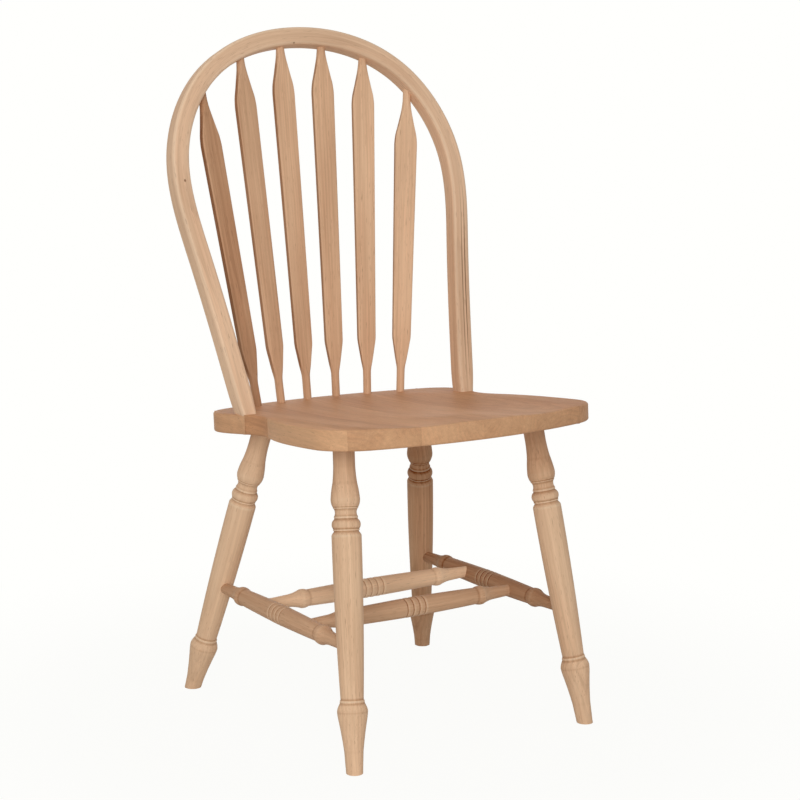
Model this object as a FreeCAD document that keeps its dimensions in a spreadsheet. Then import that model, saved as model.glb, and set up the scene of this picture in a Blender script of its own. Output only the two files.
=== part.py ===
"""Windsor dining chair with a bent bow, six arrow spindles and a double H stretcher.

Millimetres, +Z up. The origin is on the floor in the middle of the chair, the sitter faces -Y.
"""
import FreeCAD
import Part
import math
import os
import Sketcher

Vector = FreeCAD.Vector
Rotation = FreeCAD.Rotation
Placement = FreeCAD.Placement

SIZES = {
    # Seat: a slab that tilts down towards the back, seen from above
    "SeatHeight": 439.2,
    "SeatTilt": 4.5,
    "SeatThickness": 26.0,
    "SeatFront": 258.6,
    "SeatFrontRadius": 480.0,
    "SeatHalfWidth": 218.5,
    "SeatCorner": 66.0,
    "WaistHalfWidth": 188.0,
    "WaistBack": 32.0,
    "WaistLead": 140.0,
    "WaistTrail": 36.0,
    "RearHalfWidth": 207.5,
    "RearCorner": 50.0,
    "SeatBack": 204.0,
    "SeatBackRadius": 520.0,
    "SeatArris": 3.0,
    # Seat: the boards it is glued from, and its saddle
    "BoardWidth": 89.3,
    "OuterGlueShare": 0.29,
    "ScoopRise": 112.0,
    "BowlDepth": 7.0,
    "BowlHalfWidth": 176.0,
    "BowlHalfLength": 172.0,
    "BowlCentre": 10.0,
    "ThighDepth": 5.5,
    "ThighHalfWidth": 84.0,
    "ThighHalfLength": 190.0,
    "ThighSide": 92.0,
    "ThighCentre": 96.0,
    # Legs: where the axis meets the floor and the seat's underside
    "FrontFootX": 190.0,
    "FrontFootY": 219.0,
    "FrontTopX": 154.0,
    "FrontTopY": 134.0,
    "RearFootX": 204.5,
    "RearFootY": 223.0,
    "RearTopX": 133.2,
    "RearTopY": 124.0,
    # Legs: the turning, radii and depths below the seat, and heights over the floor
    "LegTenonLength": 16.0,
    "LegTenonChamfer": 1.4,
    "LegNeckRadius": 14.6,
    "LegNeckDepth": 32.0,
    "VaseSlopeRadius": 16.4,
    "VaseSlopeDepth": 53.5,
    "VaseRadius": 19.5,
    "VaseDepth": 74.8,
    "VaseFootRadius": 17.4,
    "VaseFootDepth": 84.4,
    "CoveRadius": 15.2,
    "CoveDepth": 89.3,
    "CoveEndDepth": 95.2,
    "BeadEdgeRadius": 16.2,
    "BeadTopDepth": 99.8,
    "BeadSwell": 2.8,
    "BeadEndDepth": 117.0,
    "ColumnTopRadius": 19.9,
    "ColumnTopDepth": 122.4,
    "ColumnSwell": 1.2,
    "ColumnFootRadius": 15.3,
    "ColumnFootHeight": 96.0,
    "CollarFilletRadius": 16.5,
    "CollarFilletHeight": 91.0,
    "CollarRadius": 20.4,
    "CollarHeight": 80.8,
    "CollarConeRadius": 19.1,
    "CollarConeHeight": 70.0,
    "AnkleRadius": 12.7,
    "AnkleHeight": 28.0,
    "FootRadius": 11.0,
    # Legs: how far each curve of the turning stands out of its chord
    "NeckFlareSwell": -0.3,
    "VaseSwell": 0.4,
    "VaseFootSwell": 0.9,
    "CoveSwell": -0.6,
    "ShoulderSwell": 1.2,
    "CollarSwell": 0.6,
    "ConeSwell": 0.15,
    "AnkleSwell": -0.4,
    # Stretchers: height of the axes, how far front and back the cross ones stand, and the rear one's rise
    "StretcherHeight": 160.0,
    "FrontCrossY": 63.5,
    "RearCrossY": 48.5,
    "RearCrossRise": 3.0,
    # Stretchers: the turning, radii, and distances from the middle
    "StretcherRadius": 13.8,
    "StretcherDipRadius": 12.0,
    "StretcherDipReach": 107.0,
    "StretcherKnopRadius": 13.5,
    "StretcherKnopReach": 118.0,
    "StretcherNeckRadius": 9.0,
    "StretcherNeckReach": 140.0,
    "StretcherEndRadius": 8.0,
    "StretcherFlareSwell": -1.0,
    "StretcherKnopSwell": 0.8,
    "StretcherBarrelSwell": 0.2,
    "SideTenonDepth": 12.0,
    "CrossTenonDepth": 8.0,
    "TenonStraight": 2.5,
    "RingSpacing": 10.0,
    "RingDepth": 0.9,
    "RingWidth": 2.4,
    # Bow: middle line in its own raked plane, x from the middle and height along the plane
    "BowRake": 17.3,
    "BowFootY": 81.6,
    "BowHeight": 546.6,
    "BowShoulderX": 165.7,
    "BowShoulderHeight": 489.2,
    "BowHalfWidth": 228.1,
    "BowWidestHeight": 373.5,
    "BowLowerX": 218.6,
    "BowLowerHeight": 228.4,
    "BowFootX": 182.5,
    "BowWidth": 26.3,
    "BowDepth": 26.8,
    "BowArris": 5.0,
    "BowFootWidth": 20.0,
    "BowFootTaper": 50.0,
    "BowTenonRadius": 6.5,
    "BowTenonLength": 17.0,
    # Spindles: feet in a row on the seat, heads in the bow
    "SpindleRowY": 186.8,
    "SpindleRowRadius": 295.0,
    "InnerFootX": 24.6,
    "MiddleFootX": 74.4,
    "OuterFootX": 122.5,
    "InnerHeadX": 34.8,
    "MiddleHeadX": 104.3,
    "OuterHeadX": 175.5,
    "SpindleFaceRadius": 500.0,
    "SpindleFootRadius": 6.0,
    "SpindleHeadRadius": 5.4,
    "SpindleTenonLength": 14.0,
    "BladeThickness": 9.0,
    "BladeArris": 1.5,
    "BladeStart": 34.0,
    "BladeHipHeight": 82.0,
    "BladeHipHalfWidth": 13.9,
    "BladeHeadDrop": 61.0,
    "BladeHeadHalfWidth": 17.3,
    "BladeTipDrop": 6.0,
    "CoreCover": 0.4,
    # Joints: glue line round a tenon, and room left at the end of its socket
    "GlueGap": 0.1,
    "EndRoom": 0.5,
}

doc = FreeCAD.newDocument("WindsorChair")
sheet = doc.addObject("Spreadsheet::Sheet", "Sizes")
for row, (alias, value) in enumerate(SIZES.items(), start=1):
    sheet.set(f"A{row}", alias)
    sheet.set(f"B{row}", str(value))
    sheet.setAlias(f"B{row}", alias)
doc.recompute()


def size(alias):
    """A driving dimension, read from the sheet."""
    return float(getattr(sheet, alias))


def bind(thing, prop, expression):
    """Ties one property of an object to the sheet."""
    thing.setExpression(prop, expression)


def cell(alias):
    """The name of a driving dimension inside an expression."""
    return f"Sizes.{alias}"


def origin_plane(body, role):
    """One of a body's own base planes."""
    return next(item for item in body.Origin.OriginFeatures if item.Role == role)


def new_sketch(body, name, role):
    """An empty sketch on one of the body's base planes."""
    sketch = body.newObject("Sketcher::SketchObject", name)
    sketch.AttachmentSupport = (origin_plane(body, role), "")
    sketch.MapMode = "FlatFace"
    return sketch


# Seat frame: the seat's top plane, tilted about X, with its own x to the right and y to the back
TILT = math.radians(size("SeatTilt"))
SEAT_FRAME = Placement(Vector(0, 0, size("SeatHeight")), Rotation(Vector(1, 0, 0), -size("SeatTilt")))
SEAT_UP = SEAT_FRAME.Rotation.multVec(Vector(0, 0, 1))

# Side of the boxes that cut across the whole chair, and the points that draw one edge of the bow
REACH = 4 * size("SeatHalfWidth")
BOW_STATIONS = 33
HALVINGS = 50


def on_seat_top(x, y):
    """Point of the seat's top plane straight over or under a place on the floor."""
    return Vector(x, y, size("SeatHeight") - y * math.tan(TILT))


def meet_plane(start, direction, base, normal):
    """Where a line meets a plane."""
    along = (base - start).dot(normal) / direction.dot(normal)
    return start + direction * along


def frame_along(start, direction, across):
    """Placement with its z axis along a direction and its x axis as near as it can be to another."""
    z_axis = Vector(direction).normalize()
    x_axis = (across - z_axis * across.dot(z_axis)).normalize()
    y_axis = z_axis.cross(x_axis)
    return Placement(start, Rotation(x_axis, y_axis, z_axis, "ZXY"))


def moved(x, y, z):
    """Placement that only moves."""
    return Placement(Vector(x, y, z), Rotation())


def socket(name, placement, radius, tenon):
    """Round hole for a tenon that starts at the placement and runs along its z axis.

    It is a glue line wider than the tenon, a little deeper, and as long again outside the wood.
    """
    hole = doc.addObject("Part::Cylinder", name)
    bind(hole, "Radius", f"{cell(radius)} + {cell('GlueGap')}")
    bind(hole, "Height", f"2 * {cell(tenon)} + {cell('EndRoom')}")
    hole.Placement = placement * moved(0, 0, -size(tenon))
    return hole


def block(name, placement, low, high):
    """Box across the whole chair, from one height to another along the placement's z axis."""
    box = doc.addObject("Part::Box", name)
    bind(box, "Length", f"4 * {cell('SeatHalfWidth')}")
    bind(box, "Width", f"4 * {cell('SeatHalfWidth')}")
    box.Height = high - low
    box.Placement = placement * moved(-REACH / 2, -REACH / 2, low)
    return box


def cut(label, base, tools):
    """The base with every tool taken away, under its own label."""
    tool = tools[0]
    if len(tools) > 1:
        tool = doc.addObject("Part::MultiFuse", label + "_tools")
        tool.Shapes = tools
    result = doc.addObject("Part::Cut", label)
    result.Base = base
    result.Tool = tool
    return result


def bulge(start, end, swell):
    """Arc from start to end that stands out of its chord by swell, to the left of the way it runs."""
    chord = end - start
    middle = (start + end) * 0.5
    out = Vector(-chord.y, chord.x, 0).normalize()
    return Part.Arc(start, middle + out * swell, end)


def close_outline(sketch, corners):
    """Joins each edge of a sketch to the next at the corner that they share."""
    count = len(corners)
    for index in range(count):
        following = (index + 1) % count
        shared = corners[following]
        ends = []
        for geometry in (index, following):
            first = sketch.getPoint(geometry, 1).distanceToPoint(shared)
            last = sketch.getPoint(geometry, 2).distanceToPoint(shared)
            ends.append(1 if first < last else 2)
        sketch.addConstraint(Sketcher.Constraint("Coincident", index, ends[0], following, ends[1]))


def turned_body(name, outline):
    """A turned piece about its own z axis. A step of its outline is radius, height and swell."""
    body = doc.addObject("PartDesign::Body", name)
    sketch = new_sketch(body, name + "_profile", "XZ_Plane")
    points = [Vector(step[0], step[1], 0) for step in outline]
    for index, step in enumerate(outline[1:]):
        start, end = points[index], points[index + 1]
        swell = step[2] if len(step) > 2 else 0
        edge = bulge(start, end, swell) if swell else Part.LineSegment(start, end)
        sketch.addGeometry(edge)
    sketch.addGeometry(Part.LineSegment(points[-1], points[0]))
    close_outline(sketch, points)
    turning = body.newObject("PartDesign::Revolution", name + "_turning")
    turning.Profile = sketch
    turning.ReferenceAxis = (sketch, ["V_Axis"])
    turning.Angle = 360
    return body


def leg_axis(side, end):
    """Axis of a leg: its foot on the floor, and where it meets the seat's underside."""
    front = end == "front"
    name = "Front" if front else "Rear"
    facing = -1 if front else 1
    foot = Vector(side * size(name + "FootX"), facing * size(name + "FootY"), 0)
    top_x = side * size(name + "TopX")
    top_y = facing * size(name + "TopY")
    top = on_seat_top(top_x, top_y) - Vector(0, 0, size("SeatThickness") / math.cos(TILT))
    return foot, top


def leg_reach(end):
    """Length of a leg from the seat's underside to the floor, along its axis."""
    foot, top = leg_axis(1, end)
    return (top - foot).Length


def leg_outline():
    """The turning that all four legs share, from the tenon to past the floor, where it is trimmed."""
    reach = leg_reach("front")
    longest = max(reach, leg_reach("rear"))
    bottom = -longest - size("FootRadius")
    tenon_top = size("LegTenonLength")
    chamfer = size("LegTenonChamfer")
    groove = size("BeadEdgeRadius")
    return [
        (0, tenon_top),
        (size("LegNeckRadius") - chamfer, tenon_top),
        (size("LegNeckRadius"), tenon_top - chamfer),
        (size("LegNeckRadius"), -size("LegNeckDepth")),
        (size("VaseSlopeRadius"), -size("VaseSlopeDepth"), size("NeckFlareSwell")),
        (size("VaseRadius"), -size("VaseDepth"), size("VaseSwell")),
        (size("VaseFootRadius"), -size("VaseFootDepth"), size("VaseFootSwell")),
        (size("CoveRadius"), -size("CoveDepth")),
        (size("CoveRadius"), -size("CoveEndDepth"), size("CoveSwell")),
        (groove, -size("BeadTopDepth")),
        (groove, -size("BeadEndDepth"), size("BeadSwell")),
        (size("ColumnTopRadius"), -size("ColumnTopDepth"), size("ShoulderSwell")),
        (size("ColumnFootRadius"), size("ColumnFootHeight") - reach, size("ColumnSwell")),
        (size("CollarFilletRadius"), size("CollarFilletHeight") - reach),
        (size("CollarRadius"), size("CollarHeight") - reach, size("CollarSwell")),
        (size("CollarConeRadius"), size("CollarConeHeight") - reach, size("ConeSwell")),
        (size("AnkleRadius"), size("AnkleHeight") - reach, size("AnkleSwell")),
        (size("FootRadius"), bottom),
        (0, bottom),
    ]


def stretcher_outline(half_length, tenon):
    """A turned stretcher along z, with scribed rings at its middle and a knop before each thin end."""
    straight = half_length - tenon - size("TenonStraight")
    dip = size("StretcherDipReach")
    knop = size("StretcherKnopReach")
    neck = size("StretcherNeckReach")
    ring = size("RingSpacing") / 2
    half_ring = size("RingWidth") / 2
    radius = size("StretcherRadius")
    upper = [
        (0, half_length),
        (size("StretcherEndRadius"), half_length),
        (size("StretcherEndRadius"), straight),
        (size("StretcherNeckRadius"), neck),
        (size("StretcherKnopRadius"), knop, size("StretcherFlareSwell")),
        (size("StretcherDipRadius"), dip, size("StretcherKnopSwell")),
        (radius, 3 * ring + half_ring, size("StretcherBarrelSwell")),
    ]
    for place in (3 * ring, ring, -ring, -3 * ring):
        if upper[-1][1] != place + half_ring:
            upper.append((radius, place + half_ring))
        upper.append((radius - size("RingDepth"), place))
        upper.append((radius, place - half_ring))
    lower = [
        (size("StretcherDipRadius"), -dip, size("StretcherBarrelSwell")),
        (size("StretcherKnopRadius"), -knop, size("StretcherKnopSwell")),
        (size("StretcherNeckRadius"), -neck, size("StretcherFlareSwell")),
        (size("StretcherEndRadius"), -straight),
        (size("StretcherEndRadius"), -half_length),
        (0, -half_length),
    ]
    return upper + lower


def leg_point(side, end, height):
    """Point of a leg's axis at a height over the floor."""
    foot, top = leg_axis(side, end)
    return foot + (top - foot) * (height / top.z)


def leg_radius_at_stretcher():
    """Radius of a leg's column where the stretchers enter, from the straight taper of the column."""
    reach = leg_reach("front")
    top_height = reach - size("ColumnTopDepth")
    share = (size("StretcherHeight") - size("ColumnFootHeight")) / (top_height - size("ColumnFootHeight"))
    swell = 4 * size("ColumnSwell") * share * (1 - share)
    return size("ColumnFootRadius") + share * (size("ColumnTopRadius") - size("ColumnFootRadius")) + swell


def side_stretcher_line(side):
    """Axis ends of a side stretcher: its two legs' axes, front end first."""
    height = size("StretcherHeight")
    return leg_point(side, "front", height), leg_point(side, "rear", height)


def cross_stretcher_line(y, rise):
    """Axis ends of a cross stretcher: a rise over the two side stretchers' axes, left end first."""
    ends = []
    for side in (-1, 1):
        front, rear = side_stretcher_line(side)
        share = (y - front.y) / (rear.y - front.y)
        ends.append(front + (rear - front) * share + Vector(0, 0, rise))
    return ends


def stretcher_between(label, start, end, surface, tenon):
    """A stretcher let into two round pieces with the given radius, and its sockets in them."""
    half_length = (end - start).Length / 2 - surface + size(tenon)
    body = turned_body(label + "_stick", stretcher_outline(half_length, size(tenon)))
    body.Placement = frame_along((start + end) * 0.5, end - start, Vector(0, 0, 1))
    holes = []
    for word, turn in (("first", 180), ("second", 0)):
        outward = body.Placement * Placement(Vector(), Rotation(Vector(1, 0, 0), turn))
        mouth = outward * moved(0, 0, half_length - size(tenon))
        holes.append(socket(f"{label}_{word}_socket", mouth, "StretcherEndRadius", tenon))
    return body, holes


nodes = []
SIDES = ((-1, "left"), (1, "right"))

# Stretchers first, because the legs take their sockets from them
cross_holes = {-1: [], 1: []}
crosses = {"front": (-size("FrontCrossY"), 0), "rear": (size("RearCrossY"), size("RearCrossRise"))}
for end, (y, rise) in crosses.items():
    label = "stretcher_cross_" + end
    left, right = cross_stretcher_line(y, rise)
    stick, holes = stretcher_between(label, left, right, size("StretcherRadius"), "CrossTenonDepth")
    stick.Label = label
    nodes.append(stick)
    cross_holes[-1].append(holes[0])
    cross_holes[1].append(holes[1])
side_holes = {}
for side, word in SIDES:
    label = "stretcher_side_" + word
    front, rear = side_stretcher_line(side)
    surface = leg_radius_at_stretcher()
    stick, side_holes[side] = stretcher_between(label, front, rear, surface, "SideTenonDepth")
    nodes.append(cut(label, stick, cross_holes[side]))

# Legs, each trimmed level at the floor
seat_holes = []
floor = block("floor", Placement(), -REACH / 2, 0)
for side, word in SIDES:
    for end, hole in (("front", side_holes[side][0]), ("rear", side_holes[side][1])):
        label = f"leg_{end}_{word}"
        foot, top = leg_axis(side, end)
        turning = turned_body(label + "_turned", leg_outline())
        turning.Placement = frame_along(top, top - foot, Vector(1, 0, 0))
        nodes.append(cut(label, turning, [floor, hole]))
        seat_holes.append(socket(label + "_socket", turning.Placement, "LegNeckRadius", "LegTenonLength"))

# Bow frame: its middle plane, raked back from the seat, x to the right and y up along the plane
BOW_FRAME = Placement(on_seat_top(0, size("BowFootY")), Rotation(Vector(1, 0, 0), 90 - size("BowRake")))


def bow_line():
    """Middle line of the bow from foot to foot, in its own plane."""
    right = [
        (size("BowShoulderX"), size("BowShoulderHeight")),
        (size("BowHalfWidth"), size("BowWidestHeight")),
        (size("BowLowerX"), size("BowLowerHeight")),
        (size("BowFootX"), -size("BowDepth") / 2),
    ]
    left = [(-x, y) for x, y in reversed(right)]
    points = [Vector(x, y, 0) for x, y in left + [(0, size("BowHeight"))] + right]
    line = Part.BSplineCurve()
    line.interpolate(points)
    return line


def bow_edge(line, side):
    """One edge of the bow's front outline: the middle line moved half a width to one side."""
    first, last = line.FirstParameter, line.LastParameter
    length = line.length()
    points = []
    for index in range(BOW_STATIONS):
        along = length * index / (BOW_STATIONS - 1)
        at = line.parameterAtDistance(along, first)
        tangent = line.tangent(at)[0]
        out = Vector(-tangent.y, tangent.x, 0)
        from_foot = min(along, length - along)
        taper = min(from_foot / size("BowFootTaper"), 1)
        gain = (size("BowWidth") - size("BowFootWidth")) * math.sin(taper * math.pi / 2)
        width = size("BowFootWidth") + gain
        points.append(line.value(at) + out * side * width / 2)
    edge = Part.BSplineCurve()
    edge.interpolate(points)
    return edge


line = bow_line()
outer_edge = bow_edge(line, 1)
inner_edge = bow_edge(line, -1)
bow_body = doc.addObject("PartDesign::Body", "bow_blank")
bow_sketch = new_sketch(bow_body, "bow_outline", "XY_Plane")
bow_sketch.addGeometry(outer_edge)
bow_sketch.addGeometry(inner_edge)
bow_sketch.addGeometry(Part.LineSegment(outer_edge.StartPoint, inner_edge.StartPoint))
bow_sketch.addGeometry(Part.LineSegment(outer_edge.EndPoint, inner_edge.EndPoint))
bow_pad = bow_body.newObject("PartDesign::Pad", "bow_pad")
bow_pad.Profile = bow_sketch
bow_pad.Midplane = True
bind(bow_pad, "Length", cell("BowDepth"))
doc.recompute()
bow_arris = bow_body.newObject("PartDesign::Fillet", "bow_arris")
long_edges = []
for index, edge in enumerate(bow_pad.Shape.Edges, start=1):
    if edge.Length > size("BowHeight"):
        long_edges.append(f"Edge{index}")
bow_arris.Base = (bow_pad, long_edges)
bind(bow_arris, "Radius", cell("BowArris"))
bow_body.Placement = BOW_FRAME

# The bow's feet are cut to the seat's top, and a round tenon goes on from each
under_seat_top = block("under_seat_top", SEAT_FRAME, -REACH, 0)
bow_standing = cut("bow_standing", bow_body, [under_seat_top])
tenons = []
for (side, word), at in zip(SIDES, (line.FirstParameter, line.LastParameter)):
    start = BOW_FRAME.multVec(line.value(at))
    down = BOW_FRAME.Rotation.multVec(line.tangent(at)[0] * side)
    shoulder = meet_plane(start, down, SEAT_FRAME.Base, SEAT_UP)
    frame = frame_along(shoulder, down, Vector(1, 0, 0))
    tenon = doc.addObject("Part::Cylinder", "bow_tenon_" + word)
    bind(tenon, "Radius", cell("BowTenonRadius"))
    bind(tenon, "Height", f"2 * {cell('BowTenonLength')}")
    tenon.Placement = frame * moved(0, 0, -size("BowTenonLength"))
    tenons.append(tenon)
    seat_holes.append(socket("bow_socket_" + word, frame, "BowTenonRadius", "BowTenonLength"))
bow_with_tenons = doc.addObject("Part::MultiFuse", "bow_with_tenons")
bow_with_tenons.Shapes = [bow_standing] + tenons


def bow_point(x):
    """Place on the upper bow's middle line over a given x, with the way square out of the bow there."""
    top = (line.FirstParameter + line.LastParameter) / 2
    widest = line.parameter(Vector(size("BowHalfWidth"), size("BowWidestHeight"), 0))
    low, high = top, widest
    for step in range(HALVINGS):
        half = (low + high) / 2
        if line.value(half).x < abs(x):
            low = half
        else:
            high = half
    side = math.copysign(1, x)
    found = line.value(low)
    tangent = line.tangent(low)[0]
    out = Vector(-side * tangent.y, tangent.x, 0)
    return BOW_FRAME.multVec(Vector(side * found.x, found.y, 0)), BOW_FRAME.Rotation.multVec(out)


def spindle_blade(label, length):
    """The flat arrow-shaped blade, drawn in the spindle's own x and z, with its long edges eased."""
    body = doc.addObject("PartDesign::Body", label + "_blade")
    sketch = new_sketch(body, label + "_outline", "XZ_Plane")
    tip = size("BladeThickness") / 2
    hip = size("BladeHipHalfWidth")
    hip_height = size("BladeHipHeight")
    head = size("BladeHeadHalfWidth")
    head_height = length - size("BladeHeadDrop")
    right = [
        Vector(tip, size("BladeStart"), 0),
        Vector(hip, hip_height, 0),
        Vector(head, head_height, 0),
        Vector(tip, length - size("BladeTipDrop"), 0),
    ]
    left = [Vector(-point.x, point.y, 0) for point in reversed(right)]
    points = right + left
    for start, end in zip(points, points[1:] + points[:1]):
        sketch.addGeometry(Part.LineSegment(start, end))
    close_outline(sketch, points)
    pad = body.newObject("PartDesign::Pad", label + "_pad")
    pad.Profile = sketch
    pad.Midplane = True
    bind(pad, "Length", cell("BladeThickness"))
    doc.recompute()
    eased = body.newObject("PartDesign::Chamfer", label + "_eased")
    long_edges = []
    for index, edge in enumerate(pad.Shape.Edges, start=1):
        if edge.BoundBox.ZLength > size("BladeThickness"):
            long_edges.append(f"Edge{index}")
    eased.Base = (pad, long_edges)
    bind(eased, "Size", cell("BladeArris"))
    return body


def spindle_core(label, length):
    """The round stick of a spindle, thick at both necks and buried in the blade between them."""
    foot = size("SpindleFootRadius")
    head = size("SpindleHeadRadius")
    thin = size("BladeThickness") / 2 - size("CoreCover")
    tenon = size("SpindleTenonLength")
    outline = [
        (0, length + tenon),
        (head, length + tenon),
        (head, length - size("BladeTipDrop")),
        (thin, length - size("BladeHeadDrop")),
        (thin, size("BladeHipHeight")),
        (foot, size("BladeStart")),
        (foot, -tenon),
        (0, -tenon),
    ]
    return turned_body(label + "_core", outline)


bow_holes = []
for side, side_word in SIDES:
    for word in ("Inner", "Middle", "Outer"):
        label = f"spindle_{word.lower()}_{side_word}"
        foot_x = side * size(word + "FootX")
        drop = size("SpindleRowRadius") - math.sqrt(size("SpindleRowRadius") ** 2 - foot_x ** 2)
        foot = on_seat_top(foot_x, size("SpindleRowY") - drop)
        aim, out = bow_point(side * size(word + "HeadX"))
        upright = frame_along(foot, aim - foot, Vector(1, 0, 0))
        facing = -math.degrees(math.asin(foot_x / size("SpindleFaceRadius")))
        frame = upright * Placement(Vector(), Rotation(Vector(0, 0, 1), facing))
        square_on = (aim - foot).normalize().dot(out)
        length = (aim - foot).Length - size("BowWidth") / 2 / square_on
        stick = doc.addObject("Part::MultiFuse", label)
        stick.Shapes = [spindle_blade(label, length), spindle_core(label, length)]
        stick.Placement = frame
        nodes.append(stick)
        down = frame * Placement(Vector(), Rotation(Vector(1, 0, 0), 180))
        seat_holes.append(socket(label + "_foot_socket", down, "SpindleFootRadius", "SpindleTenonLength"))
        head = frame * moved(0, 0, length)
        bow_holes.append(socket(label + "_head_socket", head, "SpindleHeadRadius", "SpindleTenonLength"))
nodes.append(cut("bow", bow_with_tenons, bow_holes))


def round_corner(centre, start, end):
    """Arc about a centre from start to end, the short way."""
    radius = (start - centre).Length
    middle = centre + ((start + end) * 0.5 - centre).normalize() * radius
    return Part.Arc(start, middle, end)


def flowing(start, end, lead, trail):
    """Curve that leaves start and reaches end heading straight back along y."""
    curve = Part.BezierCurve()
    curve.setPoles([start, start + Vector(0, lead, 0), end - Vector(0, trail, 0), end])
    return curve.toBSpline()


def seat_outline():
    """Edges of the seat's outline in its own plane: flared front, narrow waist, rounded back."""
    front = -size("SeatFront")
    front_centre = Vector(0, front + size("SeatFrontRadius"), 0)
    reach = size("SeatFrontRadius") - size("SeatCorner")
    back_centre = Vector(0, size("SeatBack") - size("SeatBackRadius"), 0)
    back_reach = size("SeatBackRadius") - size("RearCorner")
    edges = []
    joins = []
    for side in (1, -1):
        corner_x = side * (size("SeatHalfWidth") - size("SeatCorner"))
        corner = Vector(corner_x, front_centre.y - math.sqrt(reach ** 2 - corner_x ** 2), 0)
        join = front_centre + (corner - front_centre).normalize() * size("SeatFrontRadius")
        side_start = Vector(side * size("SeatHalfWidth"), corner.y, 0)
        rear_x = side * (size("RearHalfWidth") - size("RearCorner"))
        rear = Vector(rear_x, back_centre.y + math.sqrt(back_reach ** 2 - rear_x ** 2), 0)
        back_join = back_centre + (rear - back_centre).normalize() * size("SeatBackRadius")
        side_end = Vector(side * size("RearHalfWidth"), rear.y, 0)
        waist = Vector(side * size("WaistHalfWidth"), size("WaistBack"), 0)
        edges.append(round_corner(corner, join, side_start))
        edges.append(flowing(side_start, waist, size("WaistLead"), size("WaistTrail")))
        edges.append(flowing(waist, side_end, size("WaistTrail"), size("WaistTrail")))
        edges.append(round_corner(rear, side_end, back_join))
        joins.append((join, back_join))
    edges.append(Part.Arc(joins[1][0], Vector(0, front, 0), joins[0][0]))
    edges.append(Part.Arc(joins[0][1], Vector(0, size("SeatBack"), 0), joins[1][1]))
    return edges


seat_body = doc.addObject("PartDesign::Body", "seat_blank")
seat_sketch = new_sketch(seat_body, "seat_outline", "XY_Plane")
for edge in seat_outline():
    seat_sketch.addGeometry(edge)
seat_pad = seat_body.newObject("PartDesign::Pad", "seat_pad")
seat_pad.Profile = seat_sketch
seat_pad.Reversed = True
bind(seat_pad, "Length", cell("SeatThickness"))
doc.recompute()
seat_arris = seat_body.newObject("PartDesign::Fillet", "seat_arris")
flat_edges = []
for index, edge in enumerate(seat_pad.Shape.Edges, start=1):
    if edge.BoundBox.ZLength < size("SeatArris"):
        flat_edges.append(f"Edge{index}")
seat_arris.Base = (seat_pad, flat_edges)
bind(seat_arris, "Radius", cell("SeatArris"))
seat_body.Placement = SEAT_FRAME


def hollow(name, x, y, depth, half_width, half_length):
    """Shallow ellipsoid that dips into the seat's top by depth, inside an oval of the given half sizes."""
    scoop = doc.addObject("Part::Ellipsoid", name)
    tall = f"({cell('ScoopRise')} + {cell(depth)})"
    grow = f"{tall} / sqrt({tall} ^ 2 - {cell('ScoopRise')} ^ 2)"
    bind(scoop, "Radius1", tall)
    bind(scoop, "Radius2", f"{cell(half_width)} * {grow}")
    bind(scoop, "Radius3", f"{cell(half_length)} * {grow}")
    scoop.Placement = SEAT_FRAME * moved(x, y, size("ScoopRise"))
    return scoop


saddle = [hollow("bowl", 0, -size("BowlCentre"), "BowlDepth", "BowlHalfWidth", "BowlHalfLength")]
for side, word in SIDES:
    x, y = side * size("ThighSide"), -size("ThighCentre")
    saddle.append(hollow("thigh_" + word, x, y, "ThighDepth", "ThighHalfWidth", "ThighHalfLength"))
shaped_seat = cut("shaped_seat", seat_body, saddle + seat_holes)


def seat_board(label, left, right, front=-REACH / 2, back=REACH / 2):
    """The part of the shaped seat inside an upright strip, from left to right and from front to back."""
    strip = doc.addObject("Part::Box", label + "_strip")
    strip.Length = right - left
    strip.Width = back - front
    strip.Height = REACH
    strip.Placement = SEAT_FRAME * moved(left, front, -REACH / 2)
    board = doc.addObject("Part::Common", label)
    board.Base = shaped_seat
    board.Tool = strip
    return board


# Boards: the left one is narrower than the waist is deep, so it is left as two pieces by the outline
flare = size("RearHalfWidth") - size("WaistHalfWidth")
outer_line = size("WaistHalfWidth") + size("OuterGlueShare") * flare
waist_y = size("WaistBack")
nodes.append(seat_board("seat_board_left_front", -REACH / 2, -outer_line, back=waist_y))
nodes.append(seat_board("seat_board_left_rear", -REACH / 2, -outer_line, front=waist_y))
glue_lines = [-outer_line]
while glue_lines[-1] + size("BoardWidth") < size("WaistHalfWidth"):
    glue_lines.append(glue_lines[-1] + size("BoardWidth"))
glue_lines.append(REACH / 2)
for index, (left, right) in enumerate(zip(glue_lines, glue_lines[1:]), start=1):
    nodes.append(seat_board(f"seat_board_{index}", left, right))

doc.recompute()
for thing in doc.Objects:
    if "Invalid" in thing.State or "Error" in thing.State:
        raise RuntimeError(f"{thing.Name} did not build: {thing.State}")

os.makedirs("parts", exist_ok=True)
for node in nodes:
    shape = node.Shape
    if shape.isNull() or not shape.isValid():
        raise RuntimeError(f"{node.Label} has no sound shape")
    print(node.Label, round(shape.Volume), "cubic millimetres in", len(shape.Solids), "solid")
    shape.exportStep(f"parts/{node.Label}.step")
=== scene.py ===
"""Windsor dining chair in bare hardwood: turned legs, a saddled seat, a bent bow and arrow spindles.

Metres, +Z up. The origin is on the floor in the middle of the chair, the sitter faces -Y.
"""
import math

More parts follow.
